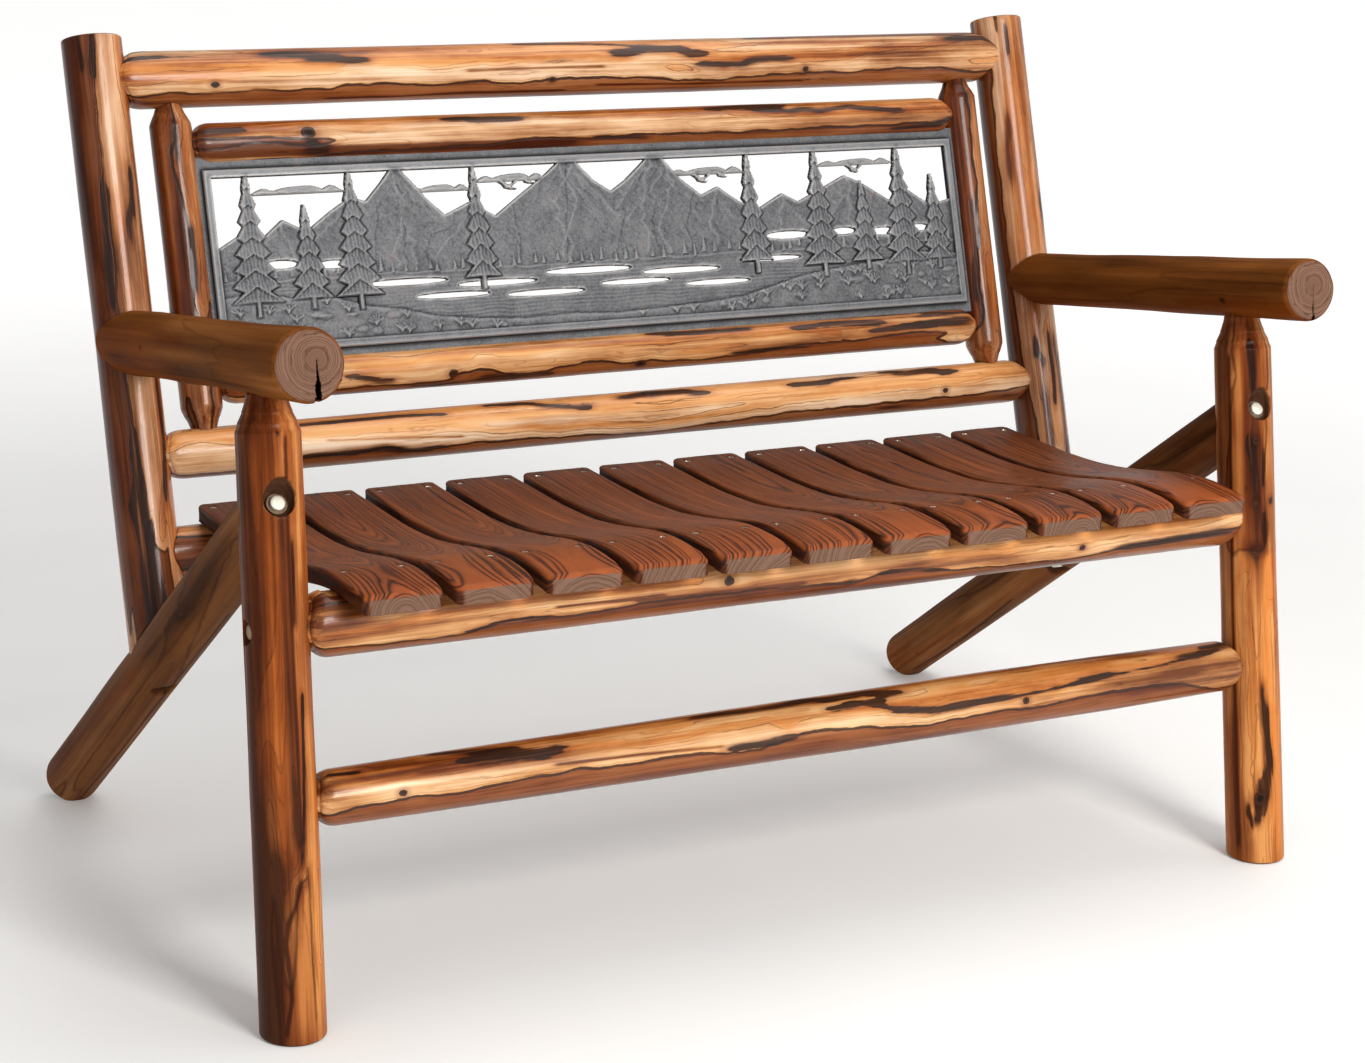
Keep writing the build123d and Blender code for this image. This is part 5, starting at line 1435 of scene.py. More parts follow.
def slat_material():
    s = Shader("brushed_dark_board")
    wood, ringv, use = s.attr("wood"), s.attr("ringv"), s.attr("use")
    rho, edge, endn = s.split(ringv)
    drop, yy, screw = s.split(use)
    fibre = s.noise(s.scale(wood, (620, 12, 620)), 1.0, 4.0, 0.65)
    streak = s.noise(s.scale(wood, (190, 4.5, 190)), 1.0, 3.0, 0.6)
    cloud = s.noise(s.scale(wood, (22, 9, 22)), 1.0, 3.0, 0.55)
    wob = s.noise(s.scale(wood, (60, 9, 60)), 1.0, 3.0, 0.6)
    uneven = s.noise(s.join(s.mul(rho, 0.085), 1.7, 0.0), 1.0, 2.0)
    ph = s.add(s.mul(rho, 1 / 5.2), s.mul(uneven, 4.5), s.mul(s.m("SUBTRACT", wob, 0.5), 0.75), s.mul(s.m("SUBTRACT", fibre, 0.5), 0.10))
    wave = s.m("FRACT", ph)
    early, late = (0.32, 0.082, 0.0225), (0.045, 0.0128, 0.0058)
    ring = s.ramp(
        wave,
        [(0.0, late), (0.09, (0.205, 0.051, 0.0148)), (0.45, early), (0.68, (0.205, 0.051, 0.0148)), (0.84, late), (0.93, (0.030, 0.010, 0.0055)), (1.0, late)],
    )
    plain = s.ramp(
        s.add(s.mul(cloud, 0.9), s.mul(s.m("SUBTRACT", streak, 0.5), 1.35), s.mul(s.m("SUBTRACT", fibre, 0.5), 0.5)),
        [(0.12, (0.040, 0.0112, 0.0048)), (0.42, (0.118, 0.0305, 0.0098)), (0.65, (0.210, 0.057, 0.0162)), (0.88, (0.33, 0.103, 0.031))],
    )
    # rings show most where the board curves down to its front edge
    front = s.step(yy, 120.0, 10.0)
    show = s.add(s.mul(front, 0.26), 0.56)
    base = s.mix(show, plain, ring)
    warm = s.mix(1.0, base, (1.18, 1.10, 1.02), "MULTIPLY")
    base = s.mix(s.mul(s.step(yy, 62.0, -6.0), s.step(cloud, 0.30, 0.62)), base, warm)
    # rear ends are greyer and duller
    grey = s.mix(1.0, base, (0.70, 0.74, 0.80), "MULTIPLY")
    rear = s.mul(s.step(yy, 250.0, 440.0), 0.85)
    base = s.mix(rear, base, grey)
    # end grain
    endcol = s.ramp(
        s.add(wave, s.mul(s.m("SUBTRACT", s.noise(s.scale(wood, (800, 100, 800)), 1.0, 2.0), 0.5), 0.5)),
        [(0.0, (0.125, 0.078, 0.056)), (0.35, (0.235, 0.158, 0.118)), (0.66, (0.20, 0.130, 0.095)), (0.86, (0.095, 0.056, 0.040)), (1.0, (0.11, 0.066, 0.048))],
    )
    endcol = s.mix(0.55, s.mix(1.0, endcol, (0.92, 0.82, 0.76), "MULTIPLY"), (0.150, 0.080, 0.053))
    base = s.mix(endn, base, endcol)
    # worn arris, and painted shade: the boards' sides and undersides darkened almost to black
    worn = s.mul(s.step(edge, 3.4, 1.0), s.step(drop, 3.4, 1.2))
    base = s.mix(s.mul(worn, s.mul(s.step(cloud, 0.35, 0.6), 0.45)), base, (0.27, 0.12, 0.062))
    side = s.mul(s.step(drop, 3.4, 6.5), s.m("SUBTRACT", 1.0, endn))
    base = s.mix(s.mul(side, 0.72), base, (0.020, 0.010, 0.008))
    # a dark stain round each screw
    base = s.mix(s.mul(s.step(screw, 5.4, 3.9), 0.75), base, (0.015, 0.007, 0.006))
    s.put(s.bsdf.inputs["Base Color"], base)
    lt = s.step(s.m("ABSOLUTE", s.add(wave, -0.82)), 0.22, 0.05)
    r = s.add(0.40, s.mul(s.m("SUBTRACT", cloud, 0.5), 0.25), s.mul(lt, -0.06), s.mul(endn, 0.22), s.mul(side, 0.2), s.mul(rear, 0.05))
    s.put(s.bsdf.inputs["Roughness"], r)
    s.bsdf.inputs["Specular IOR Level"].default_value = 0.09
    h = s.add(s.mul(s.mul(lt, show), 1.0), s.mul(fibre, 0.75), s.mul(streak, 0.8))
    s.put(s.bsdf.inputs["Normal"], s.bump(h, 0.6, 0.0007))
    return s.mat


MAT["slat"] = slat_material()
for i in range(SLAT_COUNT):
    n = f"seat_slat_{i + 1:02d}"
    add_object(f"{n}_board", slat_mesh(i), [n], "seat_wood", MAT["slat"])


# ------------------------------------------------------------------ screws and bolts
def metal_material(name, color, rough, stain, metallic=1.0):
    s = Shader(name)
    tc = s.new("ShaderNodeTexCoord").outputs["Object"]
    n1 = s.noise(tc, 420.0, 4.0, 0.6)
    n2 = s.noise(tc, 95.0, 3.0, 0.6)
    f = s.step(s.add(s.mul(n1, 0.5), s.mul(n2, 0.6)), 0.42, 0.72)
    s.put(s.bsdf.inputs["Base Color"], s.mix(f, color, stain))
    s.bsdf.inputs["Metallic"].default_value = metallic
    s.put(s.bsdf.inputs["Roughness"], s.add(rough, s.mul(f, 0.18), s.mul(s.m("SUBTRACT", n1, 0.5), 0.16)))
    s.put(s.bsdf.inputs["Normal"], s.bump(n1, 0.25, 0.0002))
    return s.mat


MAT["bolt"] = metal_material("zinc_bolt", (0.93, 0.90, 0.80), 0.42, (0.70, 0.66, 0.54), 0.55)
MAT["dull_bolt"] = metal_material("tarnished_bolt", (0.34, 0.235, 0.125), 0.5, (0.15, 0.09, 0.045), 0.5)
# the washers are painted dark brown, darker than the bolt heads: painted shade of the bolt pockets
MAT["washer"] = metal_material("pocket_shade_washer", (0.19, 0.125, 0.080), 0.5, (0.085, 0.048, 0.028), 0.35)
MAT["screw"] = metal_material("dull_screw", (0.62, 0.55, 0.46), 0.38, (0.18, 0.12, 0.08))


def join(parts):
    vs, qs, ts, k = [], [], [], 0
    for v, q, t in parts:
        vs.append(v)
        qs.append(np.asarray(q) + k)
        if t is not None:
            ts.append(np.asarray(t) + k)
        k += len(v)
    return np.concatenate(vs), np.concatenate(qs), np.concatenate(ts) if ts else None


def sharpen(mesh, degrees=40):
    mesh.set_sharp_from_angle(angle=math.radians(degrees))
    return mesh


def bolt_parts(p, d, length):
    q = np.asarray(p) + d * 2.1
    return lathe(
        q,
        d,
        [(-length, 0.0), (-length, 2.4), (-length + 6, 4.4), (-0.3, 4.4), (0.0, 7.0), (0.5, 7.55), (3.1, 7.6),
         (3.7, 7.35), (4.2, 6.7), (4.55, 5.2), (4.75, 3.0), (4.8, 0.0)],
        40,
    )  # fmt: skip


def washer_parts(p, d):
    q = np.asarray(p) + d * 0.05
    return lathe(q, d, [(0.0, 4.9), (0.0, 10.4), (0.4, 10.8), (1.6, 10.8), (2.0, 10.4), (2.0, 4.9), (0.0, 4.9)], 48)


for name, seats, length in (
    ("brace", {s: (BRACE_HEAD[s], BRACE_DIR[s]) for s in (-1, 1)}, 96),
    ("post", {s: (POST_HEAD[s], -POST_DIR) for s in (-1, 1)}, 104),
    ("rail", {s: (RAIL_HEAD[s], X_DIR * s) for s in (-1, 1)}, 96),
    ("arm", {s: (ARM_HEAD[s], ARM_DIR) for s in (-1, 1)}, 100),
):
    v, q, t = join([bolt_parts(p, d, length) for p, d in seats.values()])
    add_object(f"{name}_bolt_pair", sharpen(make_mesh(f"{name}_bolt_pair", v, q, t)), [f"{name}_bolts"], "bolt_steel", MAT["dull_bolt" if name == "rail" else "bolt"])
    parts = [washer_parts(p, d) for p, d in seats.values()]
    v, q, _ = join([(a, b, None) for a, b, c in parts])
    add_object(f"{name}_washer_pair", sharpen(make_mesh(f"{name}_washer_pair", v, q)), [f"{name}_bolt_washers"], "bolt_steel", MAT["washer"])


def screw_parts(x, y, turn):
    """Countersunk screw with a crosshead recess, its top 0.6 mm under the board."""
    top = V(x, y, float(seat_z(np.array(y - CY))) - 0.75)
    slope = float(seat_z(np.array(y - CY + 1.0)) - seat_z(np.array(y - CY - 1.0))) / 2
    axis = unit(V(0, -slope, 1))
    v, q, t = lathe(
        top, axis, [(-40, 0.0), (-36, 1.9), (-2.4, 1.9), (-0.35, 3.6), (-0.05, 3.7), (0.0, 3.45), (0.0, 2.9), (0.0, 2.3), (0.0, 1.7), (0.0, 1.1), (0.0, 0.55), (0.0, 0.0)], 32, turn
    )  # fmt: skip
    rel = v - top
    e1 = unit(np.cross(axis, V(0, 1, 0)))
    e2 = np.cross(axis, e1)
    a, b = rel @ e1, rel @ e2
    ca, sa = math.cos(turn), math.sin(turn)
    a, b = a * ca + b * sa, -a * sa + b * ca
    inside = (rel @ axis > -0.02) & (np.hypot(a, b) < 2.4) & ((np.abs(a) < 0.62) | (np.abs(b) < 0.62))
    v = v - np.outer(inside * 1.3, axis)
    return v, q, t


parts = []
rng = np.random.RandomState(5)
for y in SCREW_Y:
    for i in range(SLAT_COUNT):
        for side in (-1, 1):
            x = (i - (SLAT_COUNT - 1) / 2) * SLAT_PITCH + side * SCREW_X
            parts.append(screw_parts(x + CX, y + CY, rng.uniform(0, 3)))
v, q, t = join(parts)
add_object("slat_screw_set", sharpen(make_mesh("slat_screw_set", v, q, t)), ["slat_screws"], "screw_steel", MAT["screw"])

# ------------------------------------------------------------------ cast panel
PANEL_X, PANEL_Z = (-486.7, 490.3), (573.9, 770.2)
PANEL_BACK, PANEL_T, PLATE_T, BORDER = 7.0, 8.0, 5.0, 9.6
PANEL_W = PANEL_X[1] - PANEL_X[0]
PANEL_H = (PANEL_Z[1] - PANEL_Z[0]) / COS_BACK
PANEL_XC, PANEL_ZC = sum(PANEL_X) / 2, sum(PANEL_Z) / 2
OPEN_W, OPEN_H = PANEL_W - 2 * BORDER, PANEL_H - 2 * BORDER

# scene in openwork: a mountain range over a lake, with pines, clouds and geese
RIDGE = [
    (-481, 14), (-452, 30), (-430, 22), (-402, 44), (-374, 30), (-345, 50), (-318, 66),
    (-300, 60), (-280, 80), (-266, 96), (-256, 96), (-240, 78), (-226, 60), (-205, 40),
    (-172, 54), (-142, 36), (-106, 60), (-72, 82), (-54, 96), (-34, 96), (-12, 72),
    (10, 58), (30, 70), (50, 86), (62, 96), (80, 96), (102, 70), (130, 48), (152, 57),
    (180, 38), (206, 28), (240, 45), (262, 34), (300, 50), (330, 63), (352, 54),
    (392, 30), (420, 41), (450, 22), (481, 28),
]  # fmt: skip
BANK = [
    (-481, -40), (-440, -36), (-400, -44), (-350, -46), (-310, -58), (-270, -64),
    (-230, -74), (-180, -80), (-120, -84), (-60, -82), (0, -85), (60, -83), (120, -80),
    (170, -76), (215, -66), (255, -56), (300, -50), (345, -46), (390, -42), (430, -36),
    (481, -40),
]  # fmt: skip
PINES = [  # u, v of the foot, height, width, tiers
    (-440, -64, 163, 62, 8), (-375, -58, 118, 50, 6), (-318, -62, 161, 58, 8),
    (-165, -48, 147, 46, 7), (196, -50, 149, 48, 7), (290, -60, 159, 58, 8),
    (352, -54, 110, 46, 6), (408, -64, 163, 60, 8), (455, -58, 118, 44, 6),
]  # fmt: skip
SLOTS = [  # u, v, half length, half height: glints on the lake, then gaps in the mist
    (-262, -34, 52, 3.4), (-148, -41, 50, 3.2), (-30, -33, 56, 3.6), (92, -40, 52, 3.4),
    (214, -33, 44, 3.0), (-205, -52, 46, 3.0), (-88, -56, 50, 3.2), (30, -50, 46, 3.0),
    (140, -57, 44, 3.0), (-408, -6, 20, 4.5), (-346, -9, 18, 4.5), (243, -6, 30, 4.5),
    (322, -5, 17, 4.0), (379, -8, 18, 4.5), (432, -6, 14, 4.0),
]  # fmt: skip
CLOUDS = [  # u from, u to, v of the underside, height
    (-436, -322, 72, 9), (-250, -168, 67, 8), (-162, -70, 75, 9), (88, 194, 72, 9),
    (294, 404, 75, 8),
]  # fmt: skip
GEESE = [(-122, 69, 1.0), (-96, 74, 0.8), (132, 66, 1.0), (160, 70.5, 0.8), (346, 69, 0.9)]


def pine(u, v, h, w, tiers):
    side = [(3.2, 0), (3.2, 0.1 * h)]
    for k in range(tiers):
        y = h * (0.1 + 0.9 * k / tiers)
        half = w / 2 * (1 - k / tiers) ** 0.85
        side += [(half, y), (max(half * 0.5, 1.8), y + h * 0.62 / tiers)]
    side.append((1.6, h))
    return [(u + a, v + b) for a, b in side] + [(u - a, v + b) for a, b in side[::-1]]


def lens(u, v, a, b):
    return [(u + a * math.cos(t), v + b * math.sin(t)) for t in (math.pi * k / 10 for k in range(20))]


def cloud(u0, u1, v, h):
    n = 24
    top = []
    for k in range(n + 1):
        t = k / n
        bump = 0.45 + 0.55 * abs(math.sin(math.pi * (3.0 * t + 0.3 * math.sin(7 * t))))
        top.append((u0 + (u1 - u0) * t, v + h * bump * min(1.0, 0.35 + 4 * min(t, 1 - t))))
    return [(u0, v)] + top + [(u1, v)]


def goose(u, v, k):
    pts = [
        (-13, 7), (-8, 9), (-3, 4.5), (0, 2.4), (6, 3.4), (11, 8.5), (15, 8), (10, 3.2),
        (4, -0.6), (12, -2.6), (13, -4.0), (3, -3.4), (-4, -1.6), (-6, 2.0),
    ]  # fmt: skip
    return [(u + k * a, v + k * b) for a, b in pts]



def sdf(poly, U, Vv, reach=16.0):
    """Signed distance to a polygon, positive inside, exact within reach of it."""
    poly = np.asarray(poly, float)
    out = np.full(U.shape, -reach)
    lo, hi = poly.min(0) - reach, poly.max(0) + reach
    m = (U >= lo[0]) & (U <= hi[0]) & (Vv >= lo[1]) & (Vv <= hi[1])
    if not m.any():
        return out
    x, y = U[m], Vv[m]
    best = np.full(x.shape, 1e9)
    inside = np.zeros(x.shape, bool)
    for (x1, y1), (x2, y2) in zip(poly, np.roll(poly, -1, 0)):
        dx, dy = x2 - x1, y2 - y1
        t = np.clip(((x - x1) * dx + (y - y1) * dy) / max(dx * dx + dy * dy, 1e-9), 0, 1)
        best = np.minimum(best, (x - x1 - t * dx) ** 2 + (y - y1 - t * dy) ** 2)
        if y1 != y2:
            inside ^= ((y1 > y) != (y2 > y)) & (x < (x2 - x1) * (y - y1) / (y2 - y1) + x1)
    d = np.sqrt(best)
    out[m] = np.where(inside, d, -d)
    return np.clip(out, -reach, 60)


def box_sdf(U, Vv, w, h, uc=0.0, vc=0.0):
    qx, qy = np.abs(U - uc) - w / 2, np.abs(Vv - vc) - h / 2
    return -(np.hypot(np.maximum(qx, 0), np.maximum(qy, 0)) + np.minimum(np.maximum(qx, qy), 0))


def line_dist(path, U, Vv):
    best = np.full(U.shape, 1e9)
    for (x1, y1), (x2, y2) in zip(path[:-1], path[1:]):
        dx, dy = x2 - x1, y2 - y1
        t = np.clip(((U - x1) * dx + (Vv - y1) * dy) / max(dx * dx + dy * dy, 1e-9), 0, 1)
        best = np.minimum(best, np.hypot(U - x1 - t * dx, Vv - y1 - t * dy))
    return best


def panel_mesh():
    step = 1.15
    fw, fh, fuc, fvc = 996.5, 230.8, 0.15, 0.52
    u = np.linspace(fuc - fw / 2, fuc + fw / 2, int(fw / step) + 1)
    w = np.linspace(fvc - fh / 2, fvc + fh / 2, int(fh / step) + 1)
    U, W = np.meshgrid(u, w, indexing="ij")
    Z = np.zeros(U.shape)
    opening = box_sdf(U, W, OPEN_W, OPEN_H)
    border = np.minimum(box_sdf(U, W, PANEL_W, PANEL_H), -opening)
    ridge = sdf(RIDGE + [(481, -95), (-481, -95)], U, W)
    slots = np.max([sdf(lens(*s), U, W) for s in SLOTS], 0)
    plate = np.minimum(ridge, -slots)
    bank = sdf(BANK + [(481, -95), (-481, -95)], U, W)
    clouds = np.max([sdf(cloud(*c), U, W) for c in CLOUDS], 0)
    geese = np.max([sdf(goose(*g), U, W) for g in GEESE], 0)
    pines = [sdf(pine(*t), U, W) for t in PINES]
    allpines = np.max(pines, 0)
    frame_in = np.maximum(-opening, -60)
    solid = np.max([plate, bank, clouds, geese, allpines, frame_in], 0)

    def lift(h, d, height, soft=1.3):
        """Raises h to height inside the outline d, with a soft shoulder."""
        return np.where(d > 0, np.maximum(h, height - 0.9 * (1 - smooth(d, 0, soft))), h)

    # plate: mountains with faceted flanks and snow, then the lake
    h = np.full(U.shape, 3.4)
    hp = PLATE_T - 0.9 * (1 - smooth(plate, 0, 1.4))
    peaks = [p for a, p, b in zip(RIDGE[:-2], RIDGE[1:-1], RIDGE[2:]) if p[1] >= a[1] and p[1] >= b[1]]
    rng = np.random.RandomState(77)
    crest = np.full(U.shape, 1e9)
    flank = np.zeros(U.shape)
    for pu, pv in peaks:
        path, x, y = [(pu, pv)], pu, pv
        while y > -16:
            x += rng.uniform(-9, 9)
            y -= rng.uniform(7, 13)
            path.append((x, y))
        d = line_dist(path, U, W)
        path2, x, y = [path[1]], path[1][0], path[1][1]
        sgn = rng.choice([-1, 1])
        while y > -14 and abs(x - pu) < 46:
            x += sgn * rng.uniform(5, 10)
            y -= rng.uniform(5, 10)
            path2.append((x, y))
        if len(path2) > 2:
            d = np.minimum(d, line_dist(path2, U, W) + 1.5)
        near = d < crest
        side = np.sign(U - np.interp(W, [p[1] for p in path[::-1]], [p[0] for p in path[::-1]]))
        flank = np.where(near, side, flank)
        crest = np.minimum(crest, d)
    rock = smooth(W, -24, -12)
    facets = 1.25 * np.exp(-crest / 7.0) + 0.20 * flank * smooth(crest, 0, 3)
    facets += 0.16 * noise(U / 5.0 + W / 9.0, W / 6.0, Z, 611) + 0.10 * noise(U / 2.4, W / 2.4, Z, 612)
    snow = smooth(ridge, 15.0 + 6.0 * noise(U / 9.0, Z, Z, 613) , 12.5 + 6.0 * noise(U / 9.0, Z, Z, 613)) * smooth(W, 30, 38)
    rimline = np.exp(-(((ridge - 1.5) / 1.3) ** 2)) * 0.7
    hp = hp + rock * (facets + 0.35 * snow) + rimline * rock
    # a belt of small conifers at the mountains' feet
    for i in range(64):
        cu = -474 + i * 15.0 + rng.uniform(-5, 5)
        th, tw, tv = rng.uniform(11, 22), rng.uniform(6, 9), -22 + rng.uniform(-3, 3)
        t = (W - tv) / th
        wid = tw / 2 * (1 - t) * (0.72 + 0.28 * np.abs(((t * 5) % 1) * 2 - 1))
        inside = np.where((t > 0) & (t < 1), wid - np.abs(U - cu), -1)
        hp = np.where(inside > 0, np.maximum(hp, PLATE_T + 0.35 + 0.75 * smooth(inside, 0, 1.4)), hp)
    shore = np.exp(-(((W + 24 + 1.5 * noise(U / 18, Z, Z, 620)) / 1.2) ** 2)) * 0.5
    water = smooth(W, -25, -29)
    wave = np.sin(2 * math.pi * (W + 1.6 * noise(U / 26, W / 14, Z, 621)) / 4.4)
    hp = hp + shore + water * (0.22 * wave * (0.5 + 0.5 * noise(U / 40, W / 6, Z, 622)) - 0.25)
    rim = np.exp(-(((slots + 1.4) / 1.1) ** 2)) * 0.55
    hp = hp + rim
    h = np.where(plate > -0.2, hp, h)
    # shore in front, with tufts and stones
    hb = PLATE_T + 1.4 - 1.0 * (1 - smooth(bank, 0, 2.2))
    hb = hb + 0.35 * noise(U / 13, W / 7, Z, 631) + 0.14 * noise(U / 3, W / 3, Z, 632)
    for i in range(150):
        cu, cv = rng.uniform(-470, 470), rng.uniform(-93, -50)
        d = float(np.interp(cu, [p[0] for p in BANK], [p[1] for p in BANK])) - cv
        if d < 5:
            continue
        if rng.rand() < 0.34:
            a, b = rng.uniform(4, 11), rng.uniform(2.4, 5)
            q = ((U - cu) / a) ** 2 + ((W - cv) / b) ** 2
            hb = hb + 1.0 * np.sqrt(np.maximum(1 - q, 0)) * (1 + 0.2 * noise(U / 2.5, W / 2.5, Z, 640 + i))
        else:
            for k in range(7):
                ang = math.radians(90 + (k - 3) * 15 + rng.uniform(-6, 6))
                ln = rng.uniform(6, 13)
                d = line_dist([(cu, cv), (cu + ln * 0.5 * math.cos(ang), cv + ln * 0.5 * math.sin(ang)), (cu + ln * math.cos(ang) * 1.1, cv + ln * 0.85 * math.sin(ang))], U, W)
                hb = np.maximum(hb, hb + 0.85 * np.exp(-((d / 0.85) ** 2)))
    h = np.where(bank > 0, np.maximum(h, hb), h)
    # clouds and geese
    puff = 0.5 + 0.5 * noise(U / 6.5, W / 4.2, Z, 651)
    h = np.where(clouds > 0, np.maximum(h, PLATE_T + 1 - 0.9 * (1 - smooth(clouds, 0, 1.5)) + 0.8 * puff * smooth(clouds, 0.5, 3)), h)
    h = lift(h, geese, PLATE_T + 1.2, 1.4)
    # pines: drooping branches in tiers round a trunk
    for (pu, pv, ph, pw, tiers), d in zip(PINES, pines):
        t = (W - pv) / ph
        x = (U - pu) / (pw / 2)
        kk = (t - 0.1) / 0.9 * tiers
        saw = kk % 1
        droop = ((kk + 1.1 * np.abs(x)) * 1.0) % 1
        needle = 0.5 + 0.5 * np.sin((U - pu) * 1.35 + kk * 2.2 + 1.8 * noise(U / 6, W / 6, Z, 661))
        ht = PLATE_T + 0.8 + 1.5 * (1 - droop) ** 0.8 * (0.55 + 0.45 * (1 - np.minimum(np.abs(x), 1)))
        ht = ht + 0.42 * needle * smooth(d, 0.3, 1.6)
        trunk = np.abs(U - pu) - 3.4
        ht = np.where(t < 0.11, PLATE_T + 1.6 + 0.5 * np.cos(np.clip((U - pu) / 3.4, -1, 1) * 1.5) + 0.2 * np.sin((U - pu) * 3), ht)
        ht = ht - 1.1 * (1 - smooth(d, 0, 1.3))
        h = np.where(d > 0, np.maximum(ht, 4.2), h)
        # a groove round each tree sets it off from what lies behind
        h = np.where((d <= 0) & (d > -2.2) & (h > 4.4), h - 0.75 * np.exp(-(((d + 0.7) / 0.9) ** 2)), h)
    # raised border with a bead inside and a soft outer edge
    outer = box_sdf(U, W, PANEL_W, PANEL_H)
    inner = -opening
    hb = PANEL_T - 1.2 * (1 - smooth(outer, 0, 1.6)) - 1.0 * (1 - smooth(inner, 0, 1.5))
    hb = hb - 0.35 * np.exp(-(((inner - 3.1) / 0.9) ** 2))
    h = np.where(border > 0, hb, h)
    h = np.where(outer <= 0, 3.4, h)
    # sand-cast skin
    h = h + 0.07 * noise(U / 1.9, W / 1.9, Z, 671) + 0.10 * noise(U / 7, W / 7, Z, 672)
    h = np.minimum(h, PANEL_T)
    solid = np.where(outer <= BORDER, np.maximum(solid, np.where(outer <= 0, 9.0, frame_in)), solid)
    solid = np.minimum(solid, 30)

    # cavity: height against its blurred self
    def blur(a, n):
        k = np.exp(-np.linspace(-2, 2, 2 * n + 1) ** 2)
        k /= k.sum()
        for ax in (0, 1):
            pad = [(n, n) if i == ax else (0, 0) for i in (0, 1)]
            p = np.pad(a, pad, mode="edge")
            a = sum(k[i] * np.take(p, np.arange(i, i + a.shape[ax]), ax) for i in range(2 * n + 1))
        return a

    hs = np.where(solid > 0, h, 0.5)
    near, far = hs - blur(hs, 2), hs - blur(hs, 6)
    # keep what is solid, with its outline drawn smooth
    gu, gv = np.gradient(solid, u[1] - u[0], w[1] - w[0])
    g = np.hypot(gu, gv) + 1e-6
    edge = (np.abs(solid) < 0.62 * step) & (outer > 1)
    U2 = np.where(edge, U - solid * gu / g**2, U)
    W2 = np.where(edge, W - solid * gv / g**2, W)
    U2 = np.clip(U2, U - step * 0.6, U + step * 0.6)
    W2 = np.clip(W2, W - step * 0.6, W + step * 0.6)
    keep = (solid > 0) | edge
    nu, nw = U.shape
    idx = np.arange(nu * nw).reshape(nu, nw)
    a, b, c, d = idx[:-1, :-1].ravel(), idx[1:, :-1].ravel(), idx[1:, 1:].ravel(), idx[:-1, 1:].ravel()
    kf = keep.ravel()
    ka, kb, kc, kd = kf[a], kf[b], kf[c], kf[d]
    n = ka.astype(int) + kb + kc + kd
    ed = edge.ravel()
    full = (n == 4) & ~(ed[a] & ed[b] & ed[c] & ed[d])
    quads = np.stack([a, b, c, d], 1)[full]
    tri = []
    for miss, t in ((ka, (b, c, d)), (kb, (c, d, a)), (kc, (d, a, b)), (kd, (a, b, c))):
        m = (n == 3) & ~miss & ~(ed[t[0]] & ed[t[1]] & ed[t[2]])
        tri.append(np.stack(t, 1)[m])
    tris = np.concatenate(tri)
    # boundary edges
    e = np.concatenate([quads[:, [0, 1]], quads[:, [1, 2]], quads[:, [2, 3]], quads[:, [3, 0]], tris[:, [0, 1]], tris[:, [1, 2]], tris[:, [2, 0]]])
    key = e[:, 0].astype(np.int64) * (nu * nw) + e[:, 1]
    rev = e[:, 1].astype(np.int64) * (nu * nw) + e[:, 0]
    rim_edges = e[~np.isin(key, rev)]
    used = np.unique(np.concatenate([quads.ravel(), tris.ravel()]))
    new = np.full(nu * nw, -1)
    new[used] = np.arange(len(used))
    quads, tris, rim_edges = new[quads], new[tris], new[rim_edges]
    px, pw_, ph_ = U2.ravel()[used], W2.ravel()[used], h.ravel()[used]
    k = len(used)
    back_h = np.where(outer.ravel()[used] <= 0, 0.5, 0.05) + 0.0 * px
    mid_h = ph_ * 0.42
    loc = np.concatenate([np.stack([px, pw_, ph_], 1), np.stack([px, pw_, back_h], 1)])
    rim_v = np.unique(rim_edges)
    rim_new = np.full(k, -1)
    rim_new[rim_v] = 2 * k + np.arange(len(rim_v))
    loc = np.concatenate([loc, np.stack([px[rim_v], pw_[rim_v], mid_h[rim_v]], 1)])
    r0, r1 = rim_edges[:, 0], rim_edges[:, 1]
    quads = np.concatenate([
        quads,
        quads[:, ::-1] + k,
        np.stack([r1, r0, rim_new[r0], rim_new[r1]], 1),
        np.stack([rim_new[r1], rim_new[r0], r0 + k, r1 + k], 1),
    ])
    tris = np.concatenate([tris, tris[:, ::-1] + k])
    origin = back_at(PANEL_XC, PANEL_ZC) + BACK_NORMAL * PANEL_BACK
    world = origin + loc[:, :1] * X_DIR + loc[:, 1:2] * POST_DIR + loc[:, 2:] * BACK_NORMAL
    mesh = make_mesh("cast_panel_relief", world, quads, tris)
    sharpen(mesh, 48)
    cav = np.concatenate([near.ravel()[used], np.full(k, -0.2), np.full(len(rim_v), -0.6)])
    cav2 = np.concatenate([far.ravel()[used], np.full(k, -0.2), np.full(len(rim_v), -0.8)])
    hh = np.concatenate([ph_, np.zeros(k), mid_h[rim_v]])
    vec_attr(mesh, "relief", np.stack([cav, cav2, hh], 1))
    vec_attr(mesh, "plane", loc * 0.001)
    return mesh


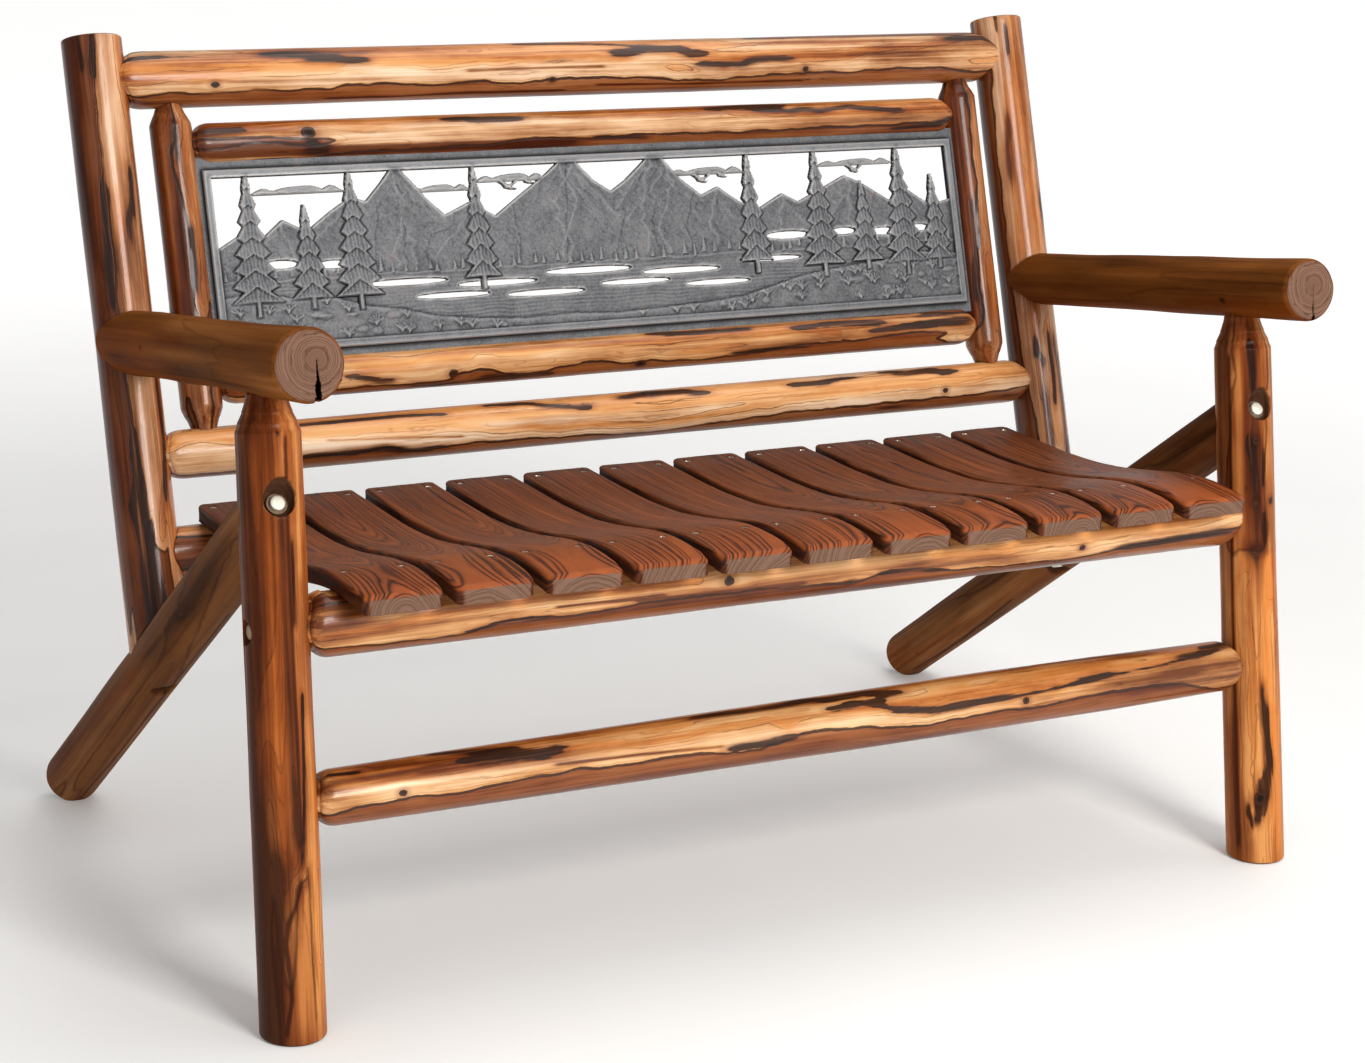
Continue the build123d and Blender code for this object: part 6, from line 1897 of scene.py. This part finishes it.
def panel_material():
    s = Shader("pewter_cast_metal")
    relief, plane = s.attr("relief"), s.attr("plane")
    near, far, hh = s.split(relief)
    grit = s.noise(plane, 900.0, 3.0, 0.7)
    grit2 = s.noise(plane, 330.0, 3.0, 0.6)
    cloud = s.noise(plane, 34.0, 4.0, 0.6)
    c = s.add(s.mul(near, 0.54), s.mul(far, 0.60), s.mul(s.m("SUBTRACT", grit, 0.5), 0.85), s.mul(s.m("SUBTRACT", grit2, 0.5), 0.7), s.mul(s.m("SUBTRACT", cloud, 0.5), 0.55))
    base = s.ramp(
        s.m("MULTIPLY_ADD", c, 0.5, 0.5),
        [(0.12, (0.008, 0.008, 0.010)), (0.36, (0.042, 0.044, 0.050)), (0.54, (0.124, 0.128, 0.137)), (0.73, (0.198, 0.203, 0.214)), (0.95, (0.282, 0.279, 0.278))],
    )
    rust = s.step(s.add(cloud, s.mul(s.m("SUBTRACT", grit2, 0.5), 0.3)), 0.62, 0.76)
    base = s.mix(s.mul(rust, 0.35), base, (0.15, 0.085, 0.060))
    s.put(s.bsdf.inputs["Base Color"], base)
    s.bsdf.inputs["Metallic"].default_value = 0.45
    s.put(s.bsdf.inputs["Roughness"], s.add(0.54, s.mul(s.m("SUBTRACT", grit2, 0.5), 0.3), s.mul(c, -0.08)))
    hgt = s.add(s.mul(grit, 0.8), s.mul(grit2, 0.9))
    s.put(s.bsdf.inputs["Normal"], s.bump(hgt, 0.5, 0.0006))
    return s.mat


MAT["panel"] = panel_material()
add_object("cast_panel_relief", panel_mesh(), ["cast_panel"], "cast_metal", MAT["panel"])

# ------------------------------------------------------------------ studio
def area(name, loc, target, size, power, color=(1, 1, 1), size_y=None):
    light = bpy.data.lights.new(name, "AREA")
    light.energy, light.color, light.size = power, color, size
    if size_y:
        light.shape, light.size_y = "RECTANGLE", size_y
    obj = bpy.data.objects.new(name, light)
    bpy.context.scene.collection.objects.link(obj)
    z = unit(np.asarray(loc, float) - np.asarray(target, float))
    x = unit(np.cross(V(0, 0, 1), z))
    y = np.cross(z, x)
    m = Matrix.Identity(4)
    for i in range(3):
        m[i][0], m[i][1], m[i][2], m[i][3] = x[i], y[i], z[i], loc[i]
    obj.matrix_world = m
    return obj


v, q, t = lathe(V(0, 0, -0.5), UP, [(-40, 0.0), (-40, 14000.0), (0, 14000.0), (0, 0.0)], 96)
floor = bpy.data.objects.new("floor", make_mesh("floor", v, q, t))
bpy.context.scene.collection.objects.link(floor)
fs = Shader("pale_floor")
pos = fs.new("ShaderNodeTexCoord").outputs["Object"]
away = fs.new("ShaderNodeVectorMath")
away.operation = "LENGTH"
fs.put(away.inputs[0], pos)
grit = fs.noise(pos, 3.0, 3.0)
fs.put(fs.bsdf.inputs["Base Color"], fs.ramp(grit, [(0.3, (0.86, 0.86, 0.855)), (0.7, (0.885, 0.885, 0.88))]))
# the floor glows, faintly by the bench and more strongly further out: painted light that whitens the far floor
fs.put(fs.bsdf.inputs["Emission Color"], (1.0, 1.0, 1.0))
fs.put(fs.bsdf.inputs["Emission Strength"], fs.step(away.outputs["Value"], 0.9, 4.5, 0.10, 0.62))
fs.bsdf.inputs["Roughness"].default_value = 0.9
fs.bsdf.inputs["Specular IOR Level"].default_value = 0.1
floor.data.materials.append(fs.mat)
floor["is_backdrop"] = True

area("key", (0.5, -4.3, 2.35), (0.0, 0.0, 0.5), 1.5, 175, (1.0, 0.97, 0.93))
area("fill", (-3.2, -2.2, 1.8), (0.0, 0.0, 0.5), 2.2, 10, (1.0, 0.98, 0.96))
area("top", (0.8, 0.2, 3.6), (0.0, 0.0, 0.4), 2.2, 42, (1.0, 0.99, 0.97))
world = bpy.data.worlds.new("studio")
bpy.context.scene.world = world
world.use_nodes = True
bg = world.node_tree.nodes["Background"]
wn = world.node_tree.nodes
way = wn.new("ShaderNodeTexCoord")
sep = wn.new("ShaderNodeSeparateXYZ")
world.node_tree.links.new(way.outputs["Generated"], sep.inputs[0])
ramp = wn.new("ShaderNodeMapRange")
world.node_tree.links.new(sep.outputs[0], ramp.inputs["Value"])
for key, value in (("From Min", -1.0), ("From Max", 1.0), ("To Min", 0.22), ("To Max", 0.68)):
    ramp.inputs[key].default_value = value
world.node_tree.links.new(ramp.outputs[0], bg.inputs[1])
bg.inputs[0].default_value = (1.0, 0.99, 0.98, 1)
bpy.context.scene.view_settings.view_transform = "Standard"

az, el, ro = (math.radians(a) for a in (-28.6132, 14.7363, 1.6058))
back = V(math.sin(az) * math.cos(el), -math.cos(az) * math.cos(el), math.sin(el))
right = V(math.cos(az), math.sin(az), 0)
up = np.cross(right, -back)
r2 = math.cos(ro) * right + math.sin(ro) * up
u2 = -math.sin(ro) * right + math.cos(ro) * up
cam = bpy.data.objects.new("camera", bpy.data.cameras.new("camera"))
bpy.context.scene.collection.objects.link(cam)
cam.data.sensor_fit, cam.data.sensor_width = "HORIZONTAL", 36.0
cam.data.lens = 2974.33 / 1365 * 36
cam.data.clip_end = 100
pos = V(-1572.825 + CX, -2555.208 + CY, 1235.544) * 0.001
m = Matrix.Identity(4)
for i in range(3):
    m[i][0], m[i][1], m[i][2], m[i][3] = r2[i], u2[i], back[i], pos[i]
cam.matrix_world = m
bpy.context.scene.camera = cam

lo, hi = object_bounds()
